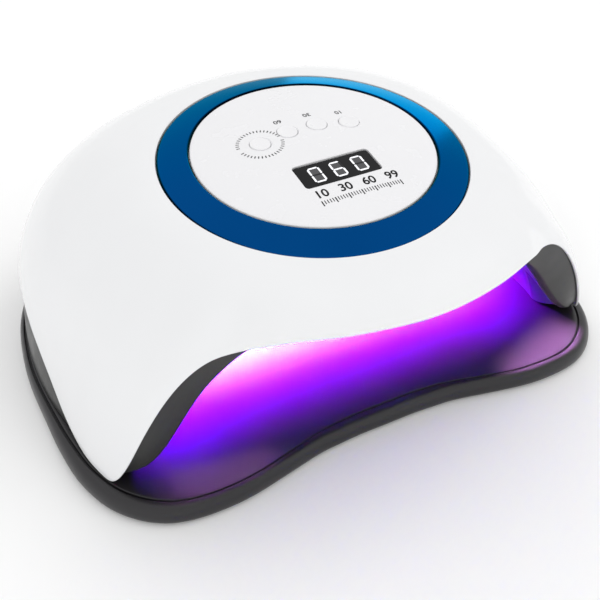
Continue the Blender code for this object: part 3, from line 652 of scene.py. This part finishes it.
def circuit_board():
    """Green solder mask with paler, raised tracks."""
    look = Look("board_green", (0.012, 0.11, 0.045), 0.35)
    tracks = look.add("TexVoronoi", (("Scale", 190.0),))
    tracks.feature = "DISTANCE_TO_EDGE"
    look.link(look.place, tracks.inputs["Vector"])
    line = look.span(tracks.outputs["Distance"], 1.0, 0.0, 0.02, 0.06)
    look.link(look.ramp(line, (0.0, (0.010, 0.095, 0.04)), (1.0, (0.03, 0.20, 0.09))),
              look.shader.inputs["Base Color"])
    look.vary_roughness(400.0, 0.28, 0.45)
    look.bump(line, 0.3, 0.05)
    return look.material


def lens_violet():
    """Clear resin lens, lit violet from its chip."""
    look = Look("lens_lit", (0.75, 0.7, 0.95), 0.08, emission_strength=2.5)
    look.link(look.ramp(look.noise(240.0), (0.3, (0.34, 0.05, 1.0)), (0.7, (0.5, 0.16, 1.0))),
              look.shader.inputs["Emission Color"])
    return look.finish(None, (500.0, 0.06, 0.14), (700.0, 3.0, 0.05, 0.02))


def ink(name, color):
    look = Look(name, color, 0.5, specular_ior_level=0.15)
    return look.finish((900.0, 0.12), (1500.0, 0.4, 0.6), (2500.0, 3.0, 0.08, 0.01))


def digit_light(name, body, color, strength):
    look = Look(name, body, 0.4, emission_strength=strength)
    look.link(look.ramp(look.noise(700.0), (0.3, tuple(c * 0.93 for c in color)), (0.7, color)),
              look.shader.inputs["Emission Color"])
    return look.finish(None, (900.0, 0.35, 0.5), (1500.0, 3.0, 0.05, 0.01))


def sleeve(name, color, rough):
    """Cable jacket, moulded component body or shrink sleeve."""
    look = Look(name, color, rough)
    return look.finish((260.0, 0.12), (700.0, rough - 0.08, rough + 0.08), (1600.0, 3.0, 0.12, 0.03))


# ------------------------ base tray

def tray_seat(angle, inset):
    """A seat on the floor, by angle and by distance inside the tray's plan."""
    turn = np.array([angle])
    return seat_at(polar(turn, tray_radius(turn) - inset, 0.0)[0])


def base_tray():
    """Tray with a rounded rim, the groove that follows it, foot pads and magnet cups underneath."""
    turn = angles()
    radius = tray_radius(turn)
    seam = softened(lambda angle: smooth(SEAM_INSET, from_front(angle)))(turn)
    under = TRAY_TOP - TRAY_SKIN
    corners = (          # inset from the plan, height, rounding
        (26.0, under, 0), (8.6, under, 0.8), (7.2, RIM_BOTTOM, 0.6), (2.6, RIM_BOTTOM, 1.2),
        (0.2, 1.9, 1.5), (0.0, 5.0, 2.2), (0.2 * seam, 7.6, 1.3), (0.5 * seam, 8.8, 1.0),
        (seam - 0.5, 9.1, 0.3), (seam - 0.25, 7.8, 0.15), (seam + 0.25, 7.8, 0.15), (seam + 0.5, 9.1, 0.3),
        (seam + 1.6, TRAY_TOP, 0.5), (26.0, TRAY_TOP, 0), (52.0, TRAY_TOP, 0),
    )
    rows = rounded([polar(turn, radius - inset, z) for inset, z, _ in corners],
                   [size for _, _, size in corners], closed=False)
    bm = bmesh.new()
    add_loft(bm, rows, closed=False)
    tray = place(bm, "tray_shell", CHARCOAL_TRAY, "tray", "base_tray")
    pads = bmesh.new()
    top = under + 0.05
    for spots, inset, outer, inner, foot, low, floor in (
            (FOOT_ANGLES, FOOT_INSET, 9.0, FOOT_RADIUS + GAP, 2.0, 3.2, True),
            (MAGNET_ANGLES, MAGNET_INSET, 5.6, MAGNET_RADIUS + GAP, 3.0, 6.2, False)):
        outline = [(inner, low), (inner, foot), (outer, foot), (outer, top), (inner, top)]
        for angle in spots:
            add_ring(pads, rounded(outline, [0.1, 0.3, 0.3, 0.1, 0.1], 2), tray_seat(angle, inset), 40)
            if floor:
                add_turned(pads, peg_profile(inner + 0.2, low, top), tray_seat(angle, inset), 40)
    cups = place(pads, "tray_cups", CHARCOAL_TRAY, "tray")


# ------------------------ housing

def top_shell():
    """The white shell with its ledge for the ring and panel, thinner along the wings' rim."""
    turn = angles()
    level = np.linspace(0, 1, SHELL_STEPS + 1)
    outside = shell_surface(turn, level)
    thick = SHELL_THICK - WING_THINNER * fade(level, 0.84, 0.98)[:, None] * wing(turn)
    inside = outside - normals(outside) * thick[:, :, None]
    spread = panel_spread(turn)

    def ledge(radius, depth):
        return on_panel(0, 0, -depth) + radius * spread

    lining = inside[:10:-1]
    rows = [ledge(LEDGE_RADIUS, LEDGE_DROP), ledge(LEDGE_OUTER, LEDGE_DROP), ledge(RING_RADIUS + GAP, 5.6),
            *outside, *lining, ledge(63.0, 7.6), ledge(LEDGE_RADIUS, LEDGE_DROP + 2.0)]
    sizes = [0.3, 0.3, 0.3, 0.35, *[0] * (len(outside) - 2), 0.5, 0.4, *[0] * (len(lining) - 1), 0.3, 0.3]
    bm = bmesh.new()
    add_loft(bm, rounded(rows, sizes))
    place(bm, "shell_cover", WHITE, "housing", "top_shell")


def accent_ring():
    """The sloping metal ring between the panel and the shell."""
    inner, outer, foot = PANEL_RADIUS + GAP, RING_RADIUS, -LEDGE_DROP + GAP
    outline = [(inner, -0.5), (inner + 0.7, 0.15),
               (outer - 0.9, -RING_DROP + 0.15), (outer, -RING_DROP - 0.7),
               (outer, -RING_DROP - RING_THICK), (LEDGE_OUTER, foot), (inner, foot)]
    bm = bmesh.new()
    add_ring(bm, rounded(outline, [0.15, 0.25, 0.5, 0.3, 0.2, 0.2, 0.2]), panel_seat(), 256)
    place(bm, "ring_band", BLUE, "housing", "accent_ring", RING_SHARP)


def display_tip():
    """How far the domed panel leans at the display, in degrees."""
    return -math.degrees(math.atan(-2 * PANEL_CROWN * DISPLAY_AT[1] / PANEL_RADIUS ** 2))


def control_panel():
    """The domed panel, with its display opening and button holes."""
    edge, foot = PANEL_RADIUS - 1.0, -LEDGE_DROP + GAP
    steps = np.linspace(0, edge, 26)
    profile = [(0.0, PANEL_CROWN)] + [(r, panel_height(r)) for r in steps[1:]]
    profile += rounded([(edge, panel_height(edge)), (PANEL_RADIUS - 0.1, -0.1), (PANEL_RADIUS, foot)],
                       [0, 0.7, 0], closed=False)[1:]
    profile += [(LEDGE_RADIUS - GAP, foot)]
    profile += [(r, panel_height(r) - PANEL_THICK) for r in (40.0, 30.0, 20.0, 10.0)]
    profile += [(0.0, PANEL_CROWN - PANEL_THICK)]
    bm = bmesh.new()
    add_turned(bm, profile, panel_seat(), 192)
    panel = place(bm, "panel_dome", PANEL, "housing", "control_panel")
    shapes = bmesh.new()
    mouth, flare, wide = (
        round_box(DISPLAY_WIDTH + 2 * more, DISPLAY_HEIGHT + 2 * more, DISPLAY_CORNER + more)
        for more in (0.0, 0.7, 1.7))
    seat = panel_seat(*DISPLAY_AT, panel_height(DISPLAY_AT[1]), display_tip())
    add_prism(shapes, [(mouth, -6.0), (mouth, -0.45), (flare, 0.05), (wide, 0.6)], seat)
    hole = BUTTON_RADIUS + BUTTON_GAP
    for x, y in BUTTONS.values():
        face = panel_height(math.hypot(x, y))
        outline = [(0, -3.0), (hole, -3.0), (hole, face - 0.2), (hole + 0.25, face),
                   (hole + 0.6, face + 0.4), (0, face + 0.4)]
        add_turned(shapes, outline, panel_seat(x, y), 64)
    cut(panel, shapes, PANEL_SHARP)


def display():
    """Smoked window in its recess with three lit seven-segment digits."""
    seat = panel_seat(*DISPLAY_AT, panel_height(DISPLAY_AT[1]) - DISPLAY_RECESS, display_tip())
    bm = bmesh.new()
    wide, high, corner = DISPLAY_WIDTH - 2 * GAP, DISPLAY_HEIGHT - 2 * GAP, DISPLAY_CORNER - GAP
    side, lip = round_box(wide, high, corner), round_box(wide - 0.3, high - 0.3, corner - 0.1)
    add_prism(bm, [(lip, -1.2), (side, -1.05), (side, -0.15), (lip, 0.0)], seat)
    place(bm, "window_glass", SMOKED, "housing", "display_window")
    lit, unlit, glow = bmesh.new(), bmesh.new(), bmesh.new()
    for place_number, digit in enumerate(DIGITS_SHOWN):
        middle = (place_number - 1) * DIGIT_PITCH + 0.5
        patch = shift(round_box(DIGIT_WIDTH - 0.6, DIGIT_HEIGHT - 0.6, 0.4, 2), middle)
        add_prism(glow, [(patch, -0.02), (patch, 0.02)], seat)
        for key, outline in segments().items():
            moved = shift(outline, middle)
            add_prism(lit if key in SEGMENTS_ON[digit] else unlit, [(moved, 0.0), (moved, 0.06)], seat)
    for bm, name, look in ((lit, "digits_lit", DIGIT_ON), (unlit, "digits_unlit", DIGIT_OFF),
                           (glow, "digits_glow", DIGIT_GLOW)):
        place(bm, name, look, "housing")


def shift(outline, across):
    """The outline, moved across."""
    return [(x + across, y) for x, y in outline]


def segments():
    """Outlines of the seven segments of one digit, centred on the origin."""
    half, w, h = SEGMENT_WIDE / 2, DIGIT_WIDTH / 2, DIGIT_HEIGHT / 2

    def bar(x, y, length, upright):
        reach = length / 2 - SEGMENT_GAP
        points = [(-reach, 0), (-reach + half, -half), (reach - half, -half),
                  (reach, 0), (reach - half, half), (-reach + half, half)]
        return [(x + (py if upright else px), y + (px if upright else py)) for px, py in points]

    side, across = h - half, 2 * (w - half)
    return {
        "a": bar(0, h - half, across, False), "g": bar(0, 0, across, False),
        "d": bar(0, half - h, across, False),
        "f": bar(half - w, side / 2, side, True), "b": bar(w - half, side / 2, side, True),
        "e": bar(half - w, -side / 2, side, True), "c": bar(w - half, -side / 2, side, True),
    }


def printed(name, outlines, look):
    """Ink on the domed panel: flat outlines in the panel's plane, laid on the dome."""
    bm = bmesh.new()
    for outline in outlines:
        top, low = ([bm.verts.new(Vector(on_panel(x, y, panel_height(math.hypot(x, y)) + over)) * MM)
                     for x, y in outline] for over in (0.03, -0.1))
        bm.faces.new(top)
        bm.faces.new(low[::-1])
        for i in range(len(top)):
            j = (i + 1) % len(top)
            bm.faces.new((top[i], low[i], low[j], top[j]))
    place(bm, name, look, "housing")


def numeral(text, height, x, y, turned=False, bold=0.0):
    """The triangles of a number in the built-in typeface, in the panel's plane."""
    curve = bpy.data.curves.new("numeral", "FONT")
    curve.body, curve.size = text, height / DIGIT_SHARE
    curve.align_x, curve.align_y = "CENTER", "CENTER"
    curve.offset = bold
    holder = bpy.data.objects.new("numeral", curve)
    bpy.context.scene.collection.objects.link(holder)
    bpy.context.view_layer.update()
    mesh = bpy.data.meshes.new_from_object(holder.evaluated_get(bpy.context.evaluated_depsgraph_get()))
    flip = -1 if turned else 1
    points = [(x + flip * vertex.co.x, y + flip * vertex.co.y) for vertex in mesh.vertices]
    made = [[points[v] for v in face.vertices] for face in mesh.polygons]
    bpy.data.objects.remove(holder)
    bpy.data.meshes.remove(mesh)
    return made


def tick(x, y, width, height, turn=0.0):
    """A short bar round a place, turned by an angle."""
    c, s = math.cos(math.radians(turn)), math.sin(math.radians(turn))
    w, h = width / 2, height / 2
    corners = ((-w, -h), (w, -h), (w, h), (-w, h))
    return [(x + px * c - py * s, y + px * s + py * c) for px, py in corners]


def printing():
    """Numbers and tick marks, as on a timer's dial."""
    small = []
    for text in ("60", "30", "10"):
        x, y = BUTTONS[text + "s"]
        small += numeral(text, MARK_HEIGHT, x - 0.4, y + MARK_RISE, turned=True, bold=MARK_BOLD)
    x, y = BUTTONS["low_heat"]
    for turn in [*range(10, 176, 9), *range(196, 350, 9)]:
        px, py = DIAL_RADIUS * math.cos(math.radians(turn)), DIAL_RADIUS * math.sin(math.radians(turn))
        small.append(tick(x + px, y + py, *DIAL_TICK, turn - 90))
    printed("dial_marks", small, INK_GREY)
    bold = []
    row = DISPLAY_AT[1] - DISPLAY_HEIGHT / 2 - SCALE_DROP
    for k, text in enumerate(SCALE_NUMBERS):
        bold += numeral(text, SCALE_HEIGHT, -13.0 + 10.4 * k, row, bold=SCALE_BOLD)
    for k in range(SCALE_COUNT):
        drop, width, height = SCALE_SHORT if k % SCALE_EVERY else SCALE_LONG
        bold.append(tick(SCALE_LEFT + k * SCALE_STEP, row - drop, width, height))
    printed("timer_scale", bold, INK_BLACK)


def buttons():
    """A dished cap for each button, with the flange that holds it in and its stem."""
    edge = BUTTON_RADIUS + BUTTON_FLANGE
    for name, (x, y) in BUTTONS.items():
        face = panel_height(math.hypot(x, y)) + BUTTON_DISH
        flange = face - BUTTON_DISH - PANEL_THICK - BUTTON_ROOM
        under = flange - 1.0
        dish = [(BUTTON_RADIUS * k / 8, face - BUTTON_DISH * (1 - (k / 7) ** 2)) for k in range(6, 0, -1)]
        rim = rounded([(BUTTON_RADIUS, flange), (BUTTON_RADIUS, face - 0.05), (BUTTON_RADIUS * 0.8, face)],
                      [0, 0.45, 0], closed=False)
        profile = [(0, STEM_FOOT), (STEM_RADIUS, STEM_FOOT), (STEM_RADIUS, under), (edge, under),
                   (edge, flange), *rim[:-1], *dish, (0, face - BUTTON_DISH)]
        bm = bmesh.new()
        add_turned(bm, profile, panel_seat(x, y), 64)
        place(bm, f"key_cap_{name}", BUTTON, f"key_{name}", f"button_{name}")


def frame_start(turn):
    """Where the frame starts, tucked up behind the shell's edge, and the way down to the edge from there."""
    wall = shell_surface(turn, np.linspace(0, 1, WALL_STEPS + 1))
    tuck = between((0, 58, 66, 72, 80, 90, 180), (1.0, 1.2, 1.8, 9.0, 7.0, 4.0, 4.0), turn, 1.0)
    length = np.linalg.norm(wall[-1] - wall[-4], axis=1) / 3
    back = np.clip(tuck / np.maximum(length, 0.2), 1, 10)
    clear = (SHELL_THICK + GAP + 0.3 + (FRAME_THICK + 0.2) * (1 - fade(from_front(turn), 44, 54))
             - (WING_THINNER + 0.25) * wing(turn))
    behind = wall - normals(wall) * clear[None, :, None]
    column = np.arange(len(turn))
    low = (WALL_STEPS - back).astype(int)
    share = (WALL_STEPS - back - low)[:, None]

    def tucked(rows):
        return rows[low, column] * (1 - share) + rows[low + 1, column] * share

    return tucked(behind), wall[-1] - tucked(wall)


def lower_frame():
    """The dark frame: the face round the opening, the skirt, and the flange with its holes."""
    turn = angles()
    start, along = frame_start(turn)
    edge, up, inner, inner_over = frame_rim(turn)
    span = np.linalg.norm(edge - start, axis=1)[:, None]
    side = fade(from_front(turn), 60, 70)[:, None]
    to_edge = unit(edge - start)
    first = unit(side * unit(along) + (1 - side) * to_edge)
    rise = unit(side * np.array([0.0, 0.0, 1.0]) + (1 - side) * -to_edge)
    skin = bezier(start, start + first * span * 0.33, edge + rise * span * 0.33, edge,
                  np.linspace(0, 1, SKIRT_STEPS + 1))
    hidden = (skin - normals(skin) * FRAME_THICK)[SKIRT_STEPS // 2::-1]
    corner = edge + up * flange_thick(turn) - away(turn) * FRAME_THICK * side
    rows = [*skin, inner, inner_over, corner, *hidden]
    sizes = [0.3, *[0] * (SKIRT_STEPS - 1), 1.1, 0.4, 0.3, 0.3, *[0] * (len(hidden) - 1), 0.3]
    bm = bmesh.new()
    add_loft(bm, rounded(rows, sizes))
    piece = place(bm, "frame_skirt", CHARCOAL, "housing", "lower_frame")
    top = FRAME_FOOT_Z + FLANGE_THICK + 1.0
    pocket, sunk = peg_profile(MAGNET_RADIUS + GAP, FRAME_FOOT_Z + 1.0, top), FRAME_FOOT_Z + 1.7
    screw = [(0, 8.0), (SCREW_HEAD, 8.0), (SCREW_HEAD, sunk), (SCREW_HOLE, sunk), (SCREW_HOLE, top), (0, top)]
    holes = bmesh.new()
    for spots, inset, outline in ((MAGNET_ANGLES, MAGNET_INSET, pocket), (SCREW_ANGLES, SCREW_INSET, screw)):
        for angle in spots:
            add_turned(holes, outline, tray_seat(angle, inset), 40)
    add_turned(holes, peg_profile(JACK_RADIUS + GAP, -7.0, 4.0), jack_seat(), 48)
    cut(piece, holes)


def jack_seat():
    """The power socket's place on the back of the skirt, with +Z pointing out of its mouth."""
    back = PANEL_Y + float(tray_radius(180.0)) - SKIRT_INSET[1][-1]
    return seat_at((0.0, back, JACK_Z), (0, 1, 0))


# ------------------------ hand chamber

def lens_places(name):
    """The angles and the height fraction of one strip's lenses."""
    if name == "ceiling":
        return [360.0 * (k + 0.5) / CEILING_LENSES for k in range(CEILING_LENSES)], sum(CEILING_SPAN) / 2
    start, end, low, high, count = LEDS[name]
    margin = (end - start) / count / 2
    return list(np.linspace(start + margin, end - margin, count)), (low + high) / 2


def lens_seat(angle, level):
    """A seat on the liner's cavity side, with +Z away from the cavity."""
    point, out = liner_spot(np.array([float(angle)]), level)
    return seat_at(point[0], out[0])


def reflector():
    """The liner that closes the hand chamber, with a hole for each lens and sensor."""
    turn = angles()
    inside = liner_surface(turn, np.linspace(0, 1, LINER_STEPS + 1))
    outside = inside - normals(inside) * LINER_THICK
    bm = bmesh.new()
    add_loft(bm, list(inside[::-1]) + list(outside), closed=False)
    liner = place(bm, "liner_shell", SILVER, "housing", "reflector_liner")
    holes = bmesh.new()
    for name in (*LEDS, "ceiling"):
        spots, level = lens_places(name)
        for angle in spots:
            add_turned(holes, peg_profile(LENS_RADIUS + 0.5, -3.0, 5.0), lens_seat(angle, level), 32)
    for angle in SENSOR_ANGLES:
        add_turned(holes, peg_profile(SENSOR_RADIUS, -3.0, 5.0), lens_seat(angle, SENSOR_LEVEL), 32)
    cut(liner, holes)


# ------------------------ carried-over nodes

def dress_frame():
    """Procedural looks for the CAD nodes that stay as they are."""
    rubber = Look("foot_rubber", (0.022, 0.022, 0.023), 0.8)
    looks = {
        "rubber_foot": rubber.finish((200.0, 0.15), (500.0, 0.7, 0.9), (1800.0, 3.0, 0.3, 0.05)),
        "tray_magnet": STEEL, "housing_magnet": STEEL, "housing_screw": STEEL,
        "board_screw": STEEL, "control_board": circuit_board(),
        "led_board": sleeve("board_aluminium", (0.6, 0.6, 0.6), 0.35), "lens_strip": lens_violet(),
        "sensor": sleeve("sensor_dark", (0.012, 0.006, 0.012), 0.16),
        "dc_jack": sleeve("jack_black", (0.018, 0.018, 0.019), 0.38), "jack_nut": STEEL,
        "jack_cable": sleeve("cable_black", (0.02, 0.02, 0.02), 0.45),
        "led_cable": sleeve("cable_red", (0.25, 0.02, 0.02), 0.45),
        "display_module": sleeve("module_black", (0.03, 0.03, 0.032), 0.5),
        "driver_chip": sleeve("chip_black", (0.025, 0.025, 0.027), 0.42),
        "switch": sleeve("switch_black", (0.03, 0.03, 0.03), 0.5),
        "power_capacitor": sleeve("capacitor_sleeve", (0.03, 0.05, 0.16), 0.3),
    }
    for name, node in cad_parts.items():
        if node.hide_render:
            continue
        look = next(look for start, look in looks.items() if name.startswith(start))
        node.data.materials.clear()
        node.data.materials.append(look)


# ------------------------ studio

def area_light(name, at, towards, size, power, color=(1, 1, 1), spread=180.0):
    """A square soft light at a place, facing a point; lengths in millimetres."""
    light = bpy.data.lights.new(name, "AREA")
    light.size, light.energy, light.color = size * MM, power, color
    light.spread = math.radians(spread)
    holder = bpy.data.objects.new(name, light)
    bpy.context.scene.collection.objects.link(holder)
    holder.location = Vector(at) * MM
    holder.rotation_mode = "QUATERNION"
    holder.rotation_quaternion = (Vector(towards) - Vector(at)).to_track_quat("-Z", "Y")
    return holder


def studio():
    """A pale floor, a soft white room, four soft lights and a card that shines in the metal ring."""
    bm = bmesh.new()
    bmesh.ops.create_grid(bm, x_segments=1, y_segments=1, size=6.0)
    pale = Look("floor_white", (0.94, 0.94, 0.94), 0.75)
    floor = place(bm, "floor", pale.finish((1.5, 0.004), (20.0, 0.7, 0.8), (60.0, 3.0, 0.02, 0.1)), None)
    glow(floor)
    world = bpy.data.worlds.new("soft_room")
    bpy.context.scene.world = world
    world.use_nodes = True
    nodes, links = world.node_tree.nodes, world.node_tree.links
    split = nodes.new("ShaderNodeSeparateXYZ")
    links.new(nodes.new("ShaderNodeTexCoord").outputs["Generated"], split.inputs["Vector"])
    ramp = nodes.new("ShaderNodeValToRGB")
    links.new(split.outputs["Z"], ramp.inputs["Fac"])
    for stone, (at, value) in zip(ramp.color_ramp.elements, ROOM_BANDS):
        stone.position, stone.color = at, (value, value, value, 1.0)
    links.new(ramp.outputs["Color"], nodes["Background"].inputs["Color"])
    for name, at, size, power in SOFT_LIGHTS:
        area_light(name, at, LIGHTS_AIM, size, power).visible_glossy = False
    shine = bpy.data.collections.new("ring_only")
    shine.objects.link(bpy.data.objects["ring_band"])
    card = area_light("ring_card", (1330, 1640, 620), LIGHTS_AIM, 1000, 4.4)
    card.light_linking.receiver_collection = shine
    scene = bpy.context.scene
    scene.view_settings.view_transform = "Standard"
    scene.view_settings.look = "None"
    scene.view_settings.exposure = 0.0


def glow(floor):
    """Light inside the hand chamber that rides with the housing, and two faint spots on the tray's front lip.

    The floor of the room takes none of it, so that the pale floor stays pale.
    """
    unlit = bpy.data.collections.new("outside_glow")
    unlit.objects.link(floor)
    unlit.collection_objects[0].light_linking.link_state = "EXCLUDE"
    for name, at, towards, size, power, spread, color in GLOW_LAMPS:
        lamp = area_light(name, at, towards, size[0], power, color, spread)
        lamp.data.shape = "RECTANGLE"
        lamp.data.size_y = size[1] * MM
        lamp.visible_camera = lamp.visible_glossy = False
        lamp.light_linking.receiver_collection = unlit
        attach(lamp, "housing")


def camera():
    """The camera at the viewing angle: azimuth from the front, elevation above the floor, a slight roll."""
    a, e, roll = (math.radians(v) for v in (CAMERA_AZIMUTH, CAMERA_ELEVATION, CAMERA_ROLL))
    back = Vector((math.sin(a) * math.cos(e), -math.cos(a) * math.cos(e), math.sin(e)))
    right = Vector((math.cos(a), math.sin(a), 0.0))
    up = back.cross(right)
    turned_right = right * math.cos(roll) + up * math.sin(roll)
    turned_up = up * math.cos(roll) - right * math.sin(roll)
    data = bpy.data.cameras.new("camera")
    data.lens, data.sensor_width = CAMERA_LENS, CAMERA_SENSOR
    data.shift_x, data.shift_y = CAMERA_SHIFT
    data.clip_start, data.clip_end = CAMERA_CLIP
    holder = bpy.data.objects.new("camera", data)
    bpy.context.scene.collection.objects.link(holder)
    turn = Matrix((turned_right, turned_up, back)).transposed().to_4x4()
    holder.matrix_world = Matrix.Translation((Vector(CAMERA_TARGET) + back * CAMERA_DISTANCE) * MM) @ turn
    bpy.context.scene.camera = holder


WHITE = Look("shell_gloss_white", (0.79, 0.795, 0.805), 0.16, coat_weight=0.35, coat_roughness=0.04).finish(
    (16.0, 0.012), (60.0, 0.13, 0.21), (170.0, 2.0, 0.12, 0.05))
PANEL = Look("panel_white", (0.79, 0.788, 0.803), 0.24, coat_weight=0.25, coat_roughness=0.06).finish(
    (24.0, 0.01), (90.0, 0.2, 0.3), (420.0, 2.0, 0.08, 0.03))
BUTTON = Look("button_white", (0.8, 0.798, 0.812), 0.3).finish(
    (80.0, 0.015), (300.0, 0.26, 0.38), (900.0, 2.0, 0.1, 0.02))
BLUE = ring_metal()
CHARCOAL = charcoal("frame_charcoal", (0.028, 0.028, 0.0275), 0.3, 0.42)
CHARCOAL_TRAY = charcoal("tray_charcoal", (0.015, 0.014, 0.016), 0.28, 0.38)
SMOKED = Look("window_smoked", (0.003, 0.003, 0.004), 0.06, specular_ior_level=0.2).finish(
    (120.0, 0.2), (260.0, 0.05, 0.11), (90.0, 1.0, 0.03, 0.03))
# Metallised plastic with a faint waviness, dark so that the lit chamber isn't washed out.
SILVER = Look("liner_silver", (0.13, 0.12, 0.16), 0.34, 0.75).finish(
    (40.0, 0.04), (160.0, 0.28, 0.42), (110.0, 2.0, 0.1, 0.15))
STEEL = Look("plated_steel", (0.66, 0.67, 0.68), 0.24, 1.0).finish(
    (300.0, 0.05), (900.0, 0.18, 0.34), (2200.0, 2.0, 0.06, 0.02))
INK_GREY, INK_BLACK = ink("ink_grey", (0.035, 0.035, 0.038)), ink("ink_black", (0.008, 0.008, 0.009))
DIGIT_ON = digit_light("digit_on", (0.6, 0.6, 0.62), (0.95, 0.97, 1.0), 0.6)
DIGIT_OFF = ink("digit_off", (0.02, 0.02, 0.022))
DIGIT_GLOW = digit_light("digit_glow", (0.01, 0.01, 0.01), (0.05, 0.05, 0.055), 1.0)

base_tray()
top_shell()
accent_ring()
control_panel()
display()
printing()
buttons()
lower_frame()
reflector()
dress_frame()
studio()
camera()
